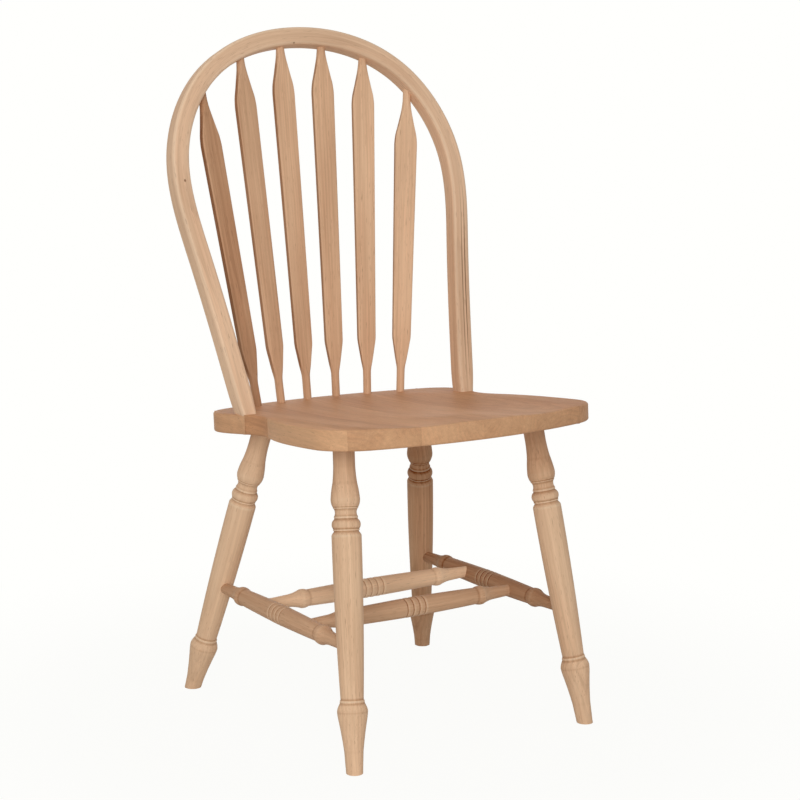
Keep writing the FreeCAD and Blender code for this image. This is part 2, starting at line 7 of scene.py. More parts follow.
import bpy
import numpy as np
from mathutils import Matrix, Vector


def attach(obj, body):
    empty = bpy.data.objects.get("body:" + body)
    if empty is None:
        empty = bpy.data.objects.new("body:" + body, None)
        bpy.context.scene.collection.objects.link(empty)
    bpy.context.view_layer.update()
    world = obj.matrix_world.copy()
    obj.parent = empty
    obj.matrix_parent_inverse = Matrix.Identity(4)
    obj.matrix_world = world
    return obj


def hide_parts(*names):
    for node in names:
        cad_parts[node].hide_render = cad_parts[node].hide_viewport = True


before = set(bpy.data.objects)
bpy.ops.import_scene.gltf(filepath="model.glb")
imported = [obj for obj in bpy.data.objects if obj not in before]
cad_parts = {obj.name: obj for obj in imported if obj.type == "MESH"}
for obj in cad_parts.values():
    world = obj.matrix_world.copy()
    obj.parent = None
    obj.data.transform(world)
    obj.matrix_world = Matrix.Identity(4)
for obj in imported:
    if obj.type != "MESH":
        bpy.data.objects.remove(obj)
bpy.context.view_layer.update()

bl_info = {
    "name": "Windsor Chair",
    "version": (1, 0, 0),
    "blender": (4, 5, 0),
    "location": "3D View > Sidebar > Windsor",
    "description": "Dresses a windsor chair's frame in bare hardwood",
    "category": "Add Mesh",
}

SIDES = (("left", -1), ("right", 1))
ENDS = (("front", -1), ("rear", 1))
MM = 0.001
X_WAY, Z_WAY = np.array([1.0, 0, 0]), np.array([0, 0, 1.0])

# Places on the legs' turning that other pieces need too
COLUMN_TOP_DEPTH = 122.4 * MM
COLUMN_FOOT_HEIGHT = 96 * MM
COLUMN_SWELL = 1.2 * MM

# Corners flatter than this are shaded smooth
SMOOTH_UP_TO = math.radians(38)

# Radius of an arris where boards are glued together
SHARP = 0.01 * MM

# How much lighter or darker each piece is painted than its wood's own tone: mostly its own tone, partly
# painted shade and light for the rear right leg and the spindles
TONES_AND_PAINTED_LIGHT = {
    "seat_board_left_rear": 0.04,
    "seat_board_left_front": 0.12,
    "seat_board_1": -0.03,
    "seat_board_2": 0.03,
    "seat_board_3": -0.02,
    "seat_board_4": -0.06,
    "seat_board_5": -0.1,
    "leg_front_left": 0.0,
    "leg_front_right": 0.03,
    "leg_rear_left": 0.05,
    # Painted shade: the rear right leg is painted darker where the seat and the front legs shade it
    "leg_rear_right": -0.24,
    "stretcher_side_left": -0.11,
    "stretcher_side_right": -0.4,
    "stretcher_cross_front": -0.06,
    "stretcher_cross_rear": 0.28,
    # The spindles are painted darker to the left and lighter to the right: partly their own tone and
    # partly painted shade and light, as the light falls from the left
    "spindle_outer_left": -0.2,
    "spindle_middle_left": -0.03,
    "spindle_inner_left": 0.0,
    "spindle_inner_right": -0.05,
    "spindle_middle_right": 0.07,
    "spindle_outer_right": 0.13,
}
# Painted shade under the seat: how much darker each leg's top is painted where the seat shades it, and
# how far down that reaches
PAINTED_SEAT_SHADE = {
    "leg_front_left": (0.1, 50 * MM),
    "leg_front_right": (0.2, 95 * MM),
    "leg_rear_left": (0.05, 80 * MM),
    "leg_rear_right": (0.12, 130 * MM),
}
# How much lower than the others some spindles' points start: each is shaped by hand
POINT_DROPS = {
    "spindle_outer_left": 8 * MM,
    "spindle_outer_right": 12 * MM,
    "spindle_middle_left": 2 * MM,
    "spindle_middle_right": 1 * MM,
}


def length(name, description, millimetres):
    """A size in the sidebar, written here in millimetres and kept in metres."""
    return bpy.props.FloatProperty(
        name=name, description=description, default=millimetres * MM, unit="LENGTH", precision=4
    )


def angle(name, description, degrees):
    """An angle in the sidebar."""
    return bpy.props.FloatProperty(
        name=name, description=description, default=math.radians(degrees), subtype="ANGLE"
    )


def colour(name, description, red, green, blue):
    """A colour in the sidebar, written here as it shows on a screen, from 0 to 255."""
    shown = np.array([red, green, blue]) / 255
    linear = np.where(shown > 0.04045, ((shown + 0.055) / 1.055) ** 2.4, shown / 12.92)
    return bpy.props.FloatVectorProperty(
        name=name, description=description, default=tuple(linear), size=3, subtype="COLOR", min=0, max=1
    )


def amount(name, description, default):
    """A plain number in the sidebar."""
    return bpy.props.FloatProperty(name=name, description=description, default=default)


class SeatSizes(bpy.types.PropertyGroup):
    """The glued seat: its plane, its outline and its saddle."""

    height: length("Height", "Seat's top over the floor at the middle of the chair", 439.2)
    tilt: angle("Tilt", "How far the seat falls towards the back", 4.5)
    thickness: length("Thickness", "Thickness of the boards at the middle", 26)
    lean: length("Thickness lean", "Extra thickness at the left side, and missing at the right side", 2)
    front: length("Front", "Middle of the front edge, from the origin along the seat", 258.6)
    front_radius: length("Front radius", "Sweep of the front edge", 480)
    half_width: length("Half width", "Half of the widest place", 215)
    corner: length("Front corner", "Radius of the front corners", 78)
    waist: length("Waist", "Half of the width at the waist", 188)
    waist_back: length("Waist place", "The waist's place behind the origin", 32)
    waist_lead: length("Waist lead", "Reach of the curve that runs in to the waist", 140)
    waist_trail: length("Waist trail", "Reach of the curve about the waist", 36)
    rear_half_width: length("Rear half width", "Half of the width behind the waist", 206)
    rear_corner: length("Rear corner", "Radius of the rear corners", 50)
    back: length("Back", "Middle of the back edge, from the origin along the seat", 204)
    back_radius: length("Back radius", "Sweep of the back edge", 520)
    arris: length("Arris", "Rounding of the top and bottom edges", 3)
    board: length("Board", "Width of a board", 89.3)
    glue_share: amount("Glue line", "Outer glue line's place from the waist to the rear width", 0.314)
    bowl_depth: length("Bowl depth", "Depth of the round hollow", 7)
    bowl_half_width: length("Bowl half width", "Half of the hollow's width", 176)
    bowl_half_length: length("Bowl half length", "Half of the hollow's length", 172)
    bowl_centre: length("Bowl centre", "The hollow's middle in front of the origin", 10)
    thigh_depth: length("Thigh depth", "Depth of the two thigh hollows", 5.5)
    thigh_half_width: length("Thigh half width", "Half of a thigh hollow's width", 84)
    thigh_half_length: length("Thigh half length", "Half of a thigh hollow's length", 190)
    thigh_side: length("Thigh side", "A thigh hollow's place beside the middle", 92)
    thigh_centre: length("Thigh centre", "A thigh hollow's middle in front of the origin", 96)


class LegSizes(bpy.types.PropertyGroup):
    """The four turned legs: where they stand, and the turning that they share."""

    front_foot_x: length("Front foot across", "Front foot's place beside the middle", 190)
    front_foot_y: length("Front foot forward", "Front foot's place in front of the origin", 219)
    front_top_x: length("Front top across", "Front leg's place under the seat beside the middle", 154)
    front_top_y: length("Front top forward", "Front leg's place under the seat before the origin", 134)
    rear_foot_x: length("Rear foot across", "Rear foot's place beside the middle", 204.5)
    rear_foot_y: length("Rear foot back", "Rear foot's place behind the origin", 223)
    rear_top_x: length("Rear top across", "Rear leg's place under the seat beside the middle", 133.2)
    rear_top_y: length("Rear top back", "Rear leg's place under the seat behind the origin", 124)
    tenon: length("Tenon", "Length of the leg inside the seat", 16)
    neck: length("Neck radius", "Radius under the seat", 14.6)
    vase: length("Vase radius", "Radius of the vase", 19.5)
    cove: length("Cove radius", "Radius of the neck under the vase", 14.6)
    fillet: length("Fillet radius", "Radius of the small step between the cove and the bead", 15.9)
    bead: length("Bead radius", "Radius of the bead", 19.2)
    column: length("Column radius", "Radius of the column's top", 19.9)
    column_foot: length("Column foot radius", "Radius of the column's bottom", 15.3)
    collar: length("Collar radius", "Radius of the collar", 20.4)
    cone: length("Cone radius", "Radius under the collar", 19.1)
    ankle: length("Ankle radius", "Radius at the ankle", 12.7)
    foot: length("Foot radius", "Radius at the floor", 11)


class StretcherSizes(bpy.types.PropertyGroup):
    """The four turned stretchers."""

    height: length("Height", "Height of the axes over the floor", 160)
    front_y: length("Front place", "Front cross stretcher's place in front of the origin", 63.5)
    rear_y: length("Rear place", "Rear cross stretcher's place behind the origin", 48.5)
    rear_rise: length("Rear rise", "How much higher the rear cross stretcher is than the side ones", 3)
    radius: length("Radius", "Radius at the middle", 13.8)
    dip: length("Dip radius", "Radius before the knop", 12)
    knop: length("Knop radius", "Radius of the knop", 13.5)
    neck: length("Neck radius", "Radius past the knop", 9)
    end: length("End radius", "Radius of the tenons", 8)
    side_tenon: length("Side tenon", "Depth of the side stretchers in the legs", 12)
    cross_tenon: length("Cross tenon", "Depth of the cross stretchers in the side ones", 8)
    ring_spacing: length("Ring spacing", "Distance between the scribed rings", 10)
    ring_depth: length("Ring depth", "Depth of the scribed rings", 1.2)


class BowSizes(bpy.types.PropertyGroup):
    """The bent bow, drawn in its own raked plane."""

    rake: angle("Rake", "How far the bow leans back", 17.3)
    foot_y: length("Foot place", "The bow's foot behind the origin", 81.6)
    height: length("Height", "Height of the middle line along the rake", 546.6)
    shoulder_x: length("Shoulder across", "The shoulder beside the middle", 165.7)
    shoulder_z: length("Shoulder height", "The shoulder's height along the rake", 489.2)
    widest_x: length("Half width", "Half of the widest place", 228.1)
    widest_z: length("Widest height", "The widest place's height along the rake", 373.5)
    lower_x: length("Lower across", "The lower part beside the middle", 218.6)
    lower_z: length("Lower height", "The lower part's height along the rake", 228.4)
    foot_x: length("Foot across", "The foot beside the middle", 182.5)
    width: length("Width", "Width of the stick, seen from the front", 26.3)
    depth: length("Depth", "Depth of the stick from front to back", 26.8)
    arris: length("Arris", "Rounding of the stick's long edges", 5)
    foot_width: length("Foot width", "Width of the stick at its foot", 20)
    foot_taper: length("Foot taper", "Length over which the foot narrows", 50)


class SpindleSizes(bpy.types.PropertyGroup):
    """The six arrow spindles."""

    row_y: length("Row place", "Middle of the row of feet behind the origin", 186.8)
    row_radius: length("Row radius", "Sweep of the row of feet", 295)
    inner_foot: length("Inner foot", "Inner spindle's foot beside the middle", 24.6)
    middle_foot: length("Middle foot", "Middle spindle's foot beside the middle", 74.4)
    outer_foot: length("Outer foot", "Outer spindle's foot beside the middle", 122.5)
    inner_head: length("Inner head", "Inner spindle's head beside the middle", 34.8)
    middle_head: length("Middle head", "Middle spindle's head beside the middle", 104.3)
    outer_head: length("Outer head", "Outer spindle's head beside the middle", 175.5)
    face_radius: length("Face radius", "Radius of the circle that the blades' faces follow", 500)
    foot: length("Foot radius", "Radius of the foot", 6)
    head: length("Head radius", "Radius of the head", 5.9)
    tenon: length("Tenon", "Length of the foot in the seat and of the head in the bow", 14)
    thickness: length("Thickness", "Thickness of the blade", 9)
    arris: length("Arris", "Rounding of the blade's long edges", 1.8)
    start: length("Neck", "Height at which the foot starts to widen", 34)
    hip_height: length("Hip height", "Height of the blade's hip", 82)
    hip: length("Hip", "Half of the width at the hip", 13.9)
    head_drop: length("Point drop", "The widest place's distance from the bow", 61)
    blade: length("Blade", "Half of the blade's widest place", 17.3)
    tip_drop: length("Tip drop", "Distance from the bow at which the head is round", 6)


class WoodColours(bpy.types.PropertyGroup):
    """The bare hardwood's tones."""

    seat: colour("Seat", "Tone of the seat boards", 203, 151, 111)
    legs: colour("Legs", "Tone of the legs", 229, 192, 157)
    stretchers: colour("Stretchers", "Tone of the stretchers", 220, 180, 145)
    bow: colour("Bow", "Tone of the bow", 229, 192, 159)
    spindles: colour("Spindles", "Tone of the spindles", 218, 177, 142)
    pore: colour("Pores", "Tone of the open pores", 128, 88, 62)


class StageSettings(bpy.types.PropertyGroup):
    """Floor, light and camera."""

    paper: colour("Background", "Tone of the floor and of what is behind", 255, 255, 253)
    floor: colour("Floor", "Tone of the floor where it shows shadow", 208, 206, 203)
    plain_floor: amount("Plain floor", "How plain the floor is near the chair: 1 hides all shadow", 0.95)
    room_light: amount("Room light", "Strength of the even light all round", 0.45)
    key_power: amount("Key power", "Power of the large lamp in front, in watts", 52)
    camera_x: length("Camera across", "Camera's place beside the origin", -1470.1)
    camera_y: length("Camera back", "Camera's place along the chair", -2338.2)
    camera_z: length("Camera height", "Camera's height over the floor", 916.4)
    yaw: angle("Camera turn", "How far round the chair the camera stands", -32.51)
    pitch: angle("Camera pitch", "How far the camera looks down", 9.64)
    lens: amount("Lens", "Focal length in millimetres", 89.03)


# Frames and grids


def unit(vector):
    """Vectors along the last axis, each divided by its length."""
    return vector / np.linalg.norm(vector, axis=-1, keepdims=True)


def frame_along(start, direction, across):
    """Origin and axes of a stick: z along a direction, x as near another as can be, y square to both."""
    z_axis = unit(direction)
    x_axis = unit(across - z_axis * (across @ z_axis))
    return start, np.array([x_axis, np.cross(z_axis, x_axis), z_axis])


def place(local, stick):
    """Points in a stick's own axes, in the chair's: the origin plus each coordinate times its axis."""
    origin, axes = stick
    return origin + local @ axes


def turn(stick, radians):
    """The same stick, turned about its own z axis."""
    origin, (x_axis, y_axis, z_axis) = stick
    turned = x_axis * math.cos(radians) + y_axis * math.sin(radians)
    return origin, np.array([turned, np.cross(z_axis, turned), z_axis])


def volume(points, faces):
    """Volume of a closed mesh: a sixth of its triangles' triple products, negative if faces point in."""
    first, second, third, fourth = (points[faces[:, corner]] for corner in range(4))
    doubled = np.cross(second, third) + np.cross(third, fourth)
    return float((first * doubled).sum() / 6)


def build(made, node, wood, grid, grain, tone, wear):
    """Closed tube over a grid of points: rows run along it, and columns go round it.

    Both ends are closed by strips between the first half of the row and the second half, run backwards.
    grain holds the same points in the wood's own axes, with z along the grain. tone is how much lighter
    they are than their wood, painted shade included for some pieces. The wear mark is 1 where they are
    worn and painted lighter as a highlight, and -1 in a hollow, painted darker as dust and as shade.
    """
    rows, columns = grid.shape[:2]
    index = np.arange(rows * columns).reshape(rows, columns)
    following = np.roll(index, -1, axis=1)
    sides = np.stack([index[:-1], following[:-1], following[1:], index[1:]], axis=-1).reshape(-1, 4)
    there, back = np.arange(columns // 2), columns - 1 - np.arange(columns // 2)
    strip = np.stack([there[:-1], there[1:], back[1:], back[:-1]], axis=-1)
    faces = np.concatenate([sides, index[0][strip][:, ::-1], index[-1][strip]])
    points = grid.reshape(-1, 3)
    if volume(points - points.mean(axis=0), faces) < 0:
        faces = faces[:, ::-1]
    name = f"{made}_{node}"
    mesh = bpy.data.meshes.new(name)
    mesh.from_pydata(points.tolist(), [], faces.tolist())
    mesh.polygons.foreach_set("use_smooth", np.ones(len(faces), bool))
    own = mesh.attributes.new("grain", "FLOAT_VECTOR", "POINT")
    own.data.foreach_set("vector", grain.astype(np.float32).ravel())
    for title, values in (("tone", tone), ("wear", wear)):
        own = mesh.attributes.new(title, "FLOAT", "POINT")
        everywhere = np.broadcast_to(values, (rows, columns))
        own.data.foreach_set("value", everywhere.astype(np.float32).ravel())
    mesh.materials.append(wood)
    mesh.validate()
    mesh.set_sharp_from_angle(angle=SMOOTH_UP_TO)
    piece = bpy.data.objects.new(name, mesh)
    bpy.context.scene.collection.objects.link(piece)
    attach(piece, "root")
    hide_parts(node)


def arc(start, end, swell, steps=9):
    """Arc between two points of a profile, standing out of its chord by swell, to the left of its way.

    With c half the chord, it opens by 2 atan(swell / c) to each side, and its points are evenly spaced.
    """
    start, end = np.array(start, float), np.array(end, float)
    share = np.linspace(0, 1, steps)[:, None]
    chord = end - start
    if abs(swell) < 1e-9:
        return start + chord * share
    half = np.linalg.norm(chord) / 2
    opening = 2 * math.atan2(abs(swell), half)
    radius = half / math.sin(opening)
    out = np.array([-chord[1], chord[0]]) / (2 * half) * math.copysign(1, swell)
    centre = (start + end) / 2 - out * radius * math.cos(opening)
    along = chord / (2 * half)
    angles = (share * 2 - 1) * opening
    return centre + radius * (out * np.cos(angles) + along * np.sin(angles))


def ease_between(value, low, high):
    """Smooth step from 0 to 1: 3 t^2 - 2 t^3."""
    t = np.clip((value - low) / (high - low), 0, 1)
    return t * t * (3 - 2 * t)


def profile(steps, ease=0.4 * MM, fade=3 * MM):
    """Profile of a turning from steps of radius, height, swell and mark, its corners eased by chamfers.

    Returns the points as radius and height, and their marks: 1 where the wood is worn and painted
    lighter as a highlight, -1 in a hollow, painted darker as dust and as shade.
    A step's own mark is carried evenly from the step before. Any other corner's mark is 1.4 times the
    sine of its turn, at most 1, and fades away from it.
    """
    steps = [tuple(step) + (0.0, None)[len(step) - 2:] for step in steps]
    edges = [arc(before[:2], step[:2], step[2]) for before, step in zip(steps, steps[1:])]
    ways = [(unit(edge[1] - edge[0]), unit(edge[-1] - edge[-2])) for edge in edges]
    turns = [0.0]
    for (_, into), (out_of, _) in zip(ways, ways[1:]):
        turns.append(float(np.clip(1.4 * (into[1] * out_of[0] - into[0] * out_of[1]), -1, 1)))
    turns.append(0.0)
    levels = [corner if step[3] is None else step[3] for corner, step in zip(turns, steps)]
    points, marks = [np.array([steps[0][:2]], float)], [np.zeros(1)]
    for edge, step, first, last in zip(edges, steps[1:], levels, levels[1:]):
        reach = max(np.linalg.norm(edge[-1] - edge[0]), 1e-6)
        cut = min(ease / reach, 0.3)
        near = np.clip(fade / reach, cut, 0.4)
        share = np.linspace(0, 1, len(edge))
        wanted = np.sort(np.concatenate([[cut, near, 1 - near, 1 - cut], share[1:-1]]))
        points.append(np.stack([np.interp(wanted, share, edge[:, axis]) for axis in (0, 1)], axis=-1))
        if step[3] is None:
            marks.append(np.interp(wanted, (cut, near, 1 - near, 1 - cut), (first, 0, 0, last)))
        else:
            marks.append(np.interp(wanted, (cut, 1 - cut), (first, last)))
    return np.concatenate(points), np.concatenate(marks)


def revolve(points, columns=72):
    """Surface of revolution about z: each profile point's radius turned through a full circle."""
    round_angles = np.linspace(0, 2 * math.pi, columns, endpoint=False)
    circle = np.stack([np.cos(round_angles), np.sin(round_angles)], axis=-1)
    flat = points[:, None, :1] * circle
    height = np.broadcast_to(points[:, None, 1:2], flat.shape[:2] + (1,))
    return np.concatenate([flat, height], axis=-1)


def in_wood(local, number, pith=(0.045, 0.03)):
    """Place of a piece in the wood it was cut from: its own axes, off the pith and along the grain.

    From piece to piece the move turns by the golden angle, so that no two pieces show the same rings.
    """
    golden_angle, along = 2.39996, 0.35
    turned = golden_angle * number
    return local + np.array([pith[0] * math.cos(turned), pith[1] * math.sin(turned), along * number])


# Shader maths


def both_ways(operation):
    """Methods for one operation: the term comes first in one, and last in the other."""

    def term_first(term, other):
        return term.graph.maths(operation, term, other)

    def term_last(term, other):
        return term.graph.maths(operation, other, term)

    return term_first, term_last


class Term:
    """One output of a shader node, which can be used in sums like a number."""

    __add__, __radd__ = both_ways("ADD")
    __sub__, __rsub__ = both_ways("SUBTRACT")
    __mul__, __rmul__ = both_ways("MULTIPLY")
    __truediv__, __rtruediv__ = both_ways("DIVIDE")

    def __init__(self, graph, socket):
        self.graph = graph
        self.socket = socket


class Graph:
    """The node tree of one material or world."""

    def __init__(self, owner):
        owner.use_nodes = True
        self.tree = owner.node_tree
        self.tree.nodes.clear()

    def node(self, kind, settings=None, inputs=None, output=0):
        """Adds a node with its settings, and values or links for its sockets, and returns one output."""
        made = self.tree.nodes.new(kind)
        for setting, value in (settings or {}).items():
            setattr(made, setting, value)
        for socket, value in (inputs or {}).items():
            if isinstance(value, Term):
                self.tree.links.new(value.socket, made.inputs[socket])
            else:
                made.inputs[socket].default_value = value
        return Term(self, made.outputs[output]) if made.outputs else None

    def maths(self, operation, *values):
        """One operation on numbers."""
        return self.node("ShaderNodeMath", {"operation": operation}, dict(enumerate(values)))

    def vectors(self, operation, *values, output="Vector"):
        """One operation on vectors."""
        settings = {"operation": operation}
        return self.node("ShaderNodeVectorMath", settings, dict(enumerate(values)), output)

    def mix(self, factor, first, second, blend="MIX"):
        """Mix of two colours: they are the node's sockets 6 and 7, and their mix is its output 2."""
        settings = {"data_type": "RGBA", "blend_type": blend}
        first, second = (shade if isinstance(shade, Term) else (*shade, 1) for shade in (first, second))
        return self.node("ShaderNodeMix", settings, {0: factor, 6: first, 7: second}, 2)

    def noise(self, grain, across, along, detail=2.0, roughness=0.55):
        """Soft noise from 0 to 1, with its spots counted per metre across the fibres and along them."""
        spots = self.vectors("MULTIPLY", grain, (across, across, along))
        inputs = {"Vector": spots, "Scale": 1.0, "Detail": detail, "Roughness": roughness}
        return self.node("ShaderNodeTexNoise", inputs=inputs)

    def seen(self):
        """1 for what the camera sees, directly, in a gloss or through glass, and 0 for other light."""
        camera = self.node("ShaderNodeLightPath", output="Is Camera Ray")
        others = camera.socket.node.outputs
        total = camera + Term(self, others["Is Glossy Ray"]) + Term(self, others["Is Transmission Ray"])
        return self.maths("MINIMUM", total, 1.0)

    def between(self, value, low, high, to_low=0.0, to_high=1.0):
        """A value carried smoothly from one range to another, held at both ends."""
        inputs = {"Value": value, "From Min": low, "From Max": high, "To Min": to_low, "To Max": to_high}
        return self.node("ShaderNodeMapRange", {"interpolation_type": "SMOOTHSTEP"}, inputs)


def bare_wood(name, tone, pore, ring, figure, rings=1.0, scars=()):
    """Sanded open-pored hardwood: growth rings about the pith, fibres, short pores, slow drifts of tone.

    ring is a growth ring's width. figure strengthens the fibres and drifts, and rings the growth rings.
    Scars are pin knots and dark lines: soft ellipsoids, each with its centre, half axes and strength.
    """
    made = bpy.data.materials.new(name)
    g = Graph(made)
    grain = g.node("ShaderNodeAttribute", {"attribute_name": "grain"}, output="Vector")
    piece_tone = g.node("ShaderNodeAttribute", {"attribute_name": "tone"}, output="Fac")
    # Painted light: the wear mark paints worn edges lighter, as wear and as a highlight, and hollows
    # darker, as dust and as painted shade
    mark = g.node("ShaderNodeAttribute", {"attribute_name": "wear"}, output="Fac")
    wear = g.maths("MAXIMUM", mark, 0.0)
    hollow = wear - mark

    # Circles about the pith, bent by slow noise: each growth ring darkens outwards and ends sharply
    drift, wander = g.noise(grain, 16, 3.5), g.noise(grain, 34, 5)
    radius = g.vectors("LENGTH", g.vectors("MULTIPLY", grain, (1, 1, 0)), output="Value")
    turns = g.maths("FRACT", (radius + 0.008 * wander + 0.012 * drift) / ring)
    late = g.between(turns, 0.3, 0.92) * (1 - g.between(turns, 0.92, 1.0)) * g.between(wander, 0.3, 0.62)

    # Fibres, from fine to coarse, and the short dark dashes of the pores between them
    fibre = g.noise(grain, 620, 9, detail=3.0, roughness=0.65)
    strand = g.noise(grain, 270, 4, roughness=0.6)
    band = g.noise(grain, 95, 2.5)
    pores = g.between(g.noise(grain, 1100, 60, detail=1.0), 0.62, 0.74) * g.between(strand, 0.35, 0.6)

    # Whatever is darker is redder too, but the tone of a piece counts only down to here
    held_at = -0.26
    fleck = 0.16 * (fibre - 0.5) + 0.20 * (strand - 0.5) + 0.16 * (band - 0.5) + 0.26 * (drift - 0.5)
    # Below, the wear mark adds a painted highlight, the hollow mark painted shade, and the piece's tone
    # painted shade where it carries some
    light = 1.0 + figure * fleck - 0.09 * rings * late + 0.08 * wear - 0.34 * hollow + piece_tone
    held = g.maths("MAXIMUM", piece_tone, held_at)
    redder = figure * fleck * 0.25 - 0.1 * hollow + 0.12 * wear + held * 0.38
    green, blue = light + redder, light + redder * 1.7
    shade = g.node("ShaderNodeCombineColor", inputs={"Red": light, "Green": green, "Blue": blue})
    rosy = tuple(np.clip(np.array(tone) * (1.03, 0.955, 0.92), 0, 1))
    plain, pink = (g.mix(1.0, base, shade, "MULTIPLY") for base in (tone, rosy))
    body = g.mix(g.between(wander, 0.35, 0.7) * 0.5, plain, pink)
    body = g.mix(pores * 0.5, body, pore)
    for centre, reach, strength in scars:
        offset = g.vectors("SUBTRACT", grain, centre)
        scaled = g.vectors("MULTIPLY", offset, tuple(1 / half for half in reach))
        inside = g.between(g.vectors("LENGTH", scaled, output="Value"), 1.0, 0.3)
        body = g.mix(inside * strength * g.between(strand, 0.2, 0.5), body, pore)

    rough = 0.56 + 0.10 * fibre + 0.10 * pores - 0.06 * wear
    relief = 0.5 * fibre + 0.3 * strand + 0.25 * late - 0.8 * pores
    bump = g.node("ShaderNodeBump", inputs={"Strength": 0.22, "Distance": 0.4 * MM, "Height": relief})
    shader = g.node("ShaderNodeBsdfPrincipled", inputs={
        "Base Color": body, "Roughness": rough, "Normal": bump, "IOR": 1.45, "Specular IOR Level": 0.14,
    })
    g.node("ShaderNodeOutputMaterial", inputs={"Surface": shader})
    return made


def wood_for(slot, **settings):
    """The slot's wood, made once."""
    colours = bpy.context.scene.windsor_wood
    name = "bare_wood_" + slot
    found = bpy.data.materials.get(name)
    if found:
        return found
    return bare_wood(name, tuple(getattr(colours, slot)), tuple(colours.pore), **settings)


# Seat


def seat_point(seat, flat, lift):
    """Point of the seat from its place on the tilted top plane and its height over it."""
    cos, sin = math.cos(seat.tilt), math.sin(seat.tilt)
    x, along = flat[..., 0], flat[..., 1]
    return np.stack([x, along * cos + lift * sin, seat.height - along * sin + lift * cos], axis=-1)


def seat_level(y):
    """Height over the floor of the seat's top plane."""
    seat = bpy.context.scene.windsor_seat
    return seat.height - y * math.tan(seat.tilt)


def on_seat_top(x, y):
    """Point of the seat's top plane straight over a place on the floor."""
    return np.array([x, y, seat_level(y)])


def bezier(points, steps):
    """Cubic curve through four control points: the sum of each point times its Bernstein weight."""
    t = np.linspace(0, 1, steps)[:, None]
    weights = [(1 - t) ** 3, 3 * t * (1 - t) ** 2, 3 * t ** 2 * (1 - t), t ** 3]
    return sum(weight * np.array(point) for weight, point in zip(weights, points))


def about(centre, start, end, steps):
    """Arc about a centre from one point to another, evenly spaced in angle."""
    first, last = start - centre, end - centre
    angles = np.linspace(math.atan2(first[1], first[0]), math.atan2(last[1], last[0]), steps)
    return centre + np.linalg.norm(first) * np.stack([np.cos(angles), np.sin(angles)], axis=-1)


def seat_outline(seat, steps=80):
    """Right half of the seat's outline, from the front's middle to the back's middle, and its normals.

    A large front arc, a corner arc, two curves about the waist, a rear corner arc and a large back arc.
    """
    front_centre = np.array([0, seat.front_radius - seat.front])
    reach = seat.front_radius - seat.corner
    corner_x = seat.half_width - seat.corner
    corner = np.array([corner_x, front_centre[1] - math.sqrt(reach ** 2 - corner_x ** 2)])
    join = front_centre + unit(corner - front_centre) * seat.front_radius
    side_start = np.array([seat.half_width, corner[1]])
    back_centre = np.array([0, seat.back - seat.back_radius])
    back_reach = seat.back_radius - seat.rear_corner
    rear_x = seat.rear_half_width - seat.rear_corner
    rear = np.array([rear_x, back_centre[1] + math.sqrt(back_reach ** 2 - rear_x ** 2)])
    back_join = back_centre + unit(rear - back_centre) * seat.back_radius
    side_end = np.array([seat.rear_half_width, rear[1]])
    waist = np.array([seat.waist, seat.waist_back])
    lead, trail = np.array([0, seat.waist_lead]), np.array([0, seat.waist_trail])
    runs = [
        about(front_centre, np.array([0, -seat.front]), join, steps),
        about(corner, join, side_start, steps),
        bezier([side_start, side_start + lead, waist - trail, waist], steps),
        bezier([waist, waist + trail, side_end - trail, side_end], steps),
        about(rear, side_end, back_join, steps),
        about(back_centre, back_join, np.array([0, seat.back]), steps),
    ]
    points = np.concatenate([runs[0]] + [run[1:] for run in runs[1:]])
    tangents = unit(np.gradient(points, axis=0))
    normals = np.stack([tangents[:, 1], -tangents[:, 0]], axis=-1)
    return points, normals


def rim_at(outline, axis, places, branch):
    """Points of one branch of the outline at given places along one axis, and the ways out of it there.

    A way out runs along the other axis. Its length is 1 over that coordinate of the outline's normal,
    and at most 2.5, because the outline may run almost along it.
    """
    points, normals = outline
    points, normals = points[branch], normals[branch]
    order = np.argsort(points[:, axis])
    at = points[order, axis]
    wanted = np.abs(places) if axis == 0 else places
    read = [np.interp(wanted, at, data[order, other]) for data in (points, normals) for other in (0, 1)]
    sign = np.sign(places) if axis == 0 else 1
    found = np.stack([read[0] * sign, read[1]], axis=-1)
    normal = unit(np.stack([read[2] * sign, read[3]], axis=-1))[:, 1 - axis]
    out = np.zeros_like(found)
    out[:, 1 - axis] = np.sign(normal) / np.clip(np.abs(normal), 0.4, 1)
    found[:, axis] = places
    return found, out


def saddle(seat, flat):
    """Depth of the saddle: the fourth root of the summed fourth powers of three paraboloids.

    They are a bowl and two thigh hollows, each depth (1 - (x / width)^2 - (y / length)^2), down to 0.
    """
    x, y = flat[..., 0], flat[..., 1]
    scoops = [(0, -seat.bowl_centre, seat.bowl_depth, seat.bowl_half_width, seat.bowl_half_length)]
    thigh = (-seat.thigh_centre, seat.thigh_depth, seat.thigh_half_width, seat.thigh_half_length)
    scoops += [(side * seat.thigh_side, *thigh) for _, side in SIDES]
    total = 0
    for scoop_x, scoop_y, depth, half_width, half_length in scoops:
        spread = ((x - scoop_x) / half_width) ** 2 + ((y - scoop_y) / half_length) ** 2
        total = total + (depth * np.clip(1 - spread, 0, None)) ** 4
    return total ** 0.25


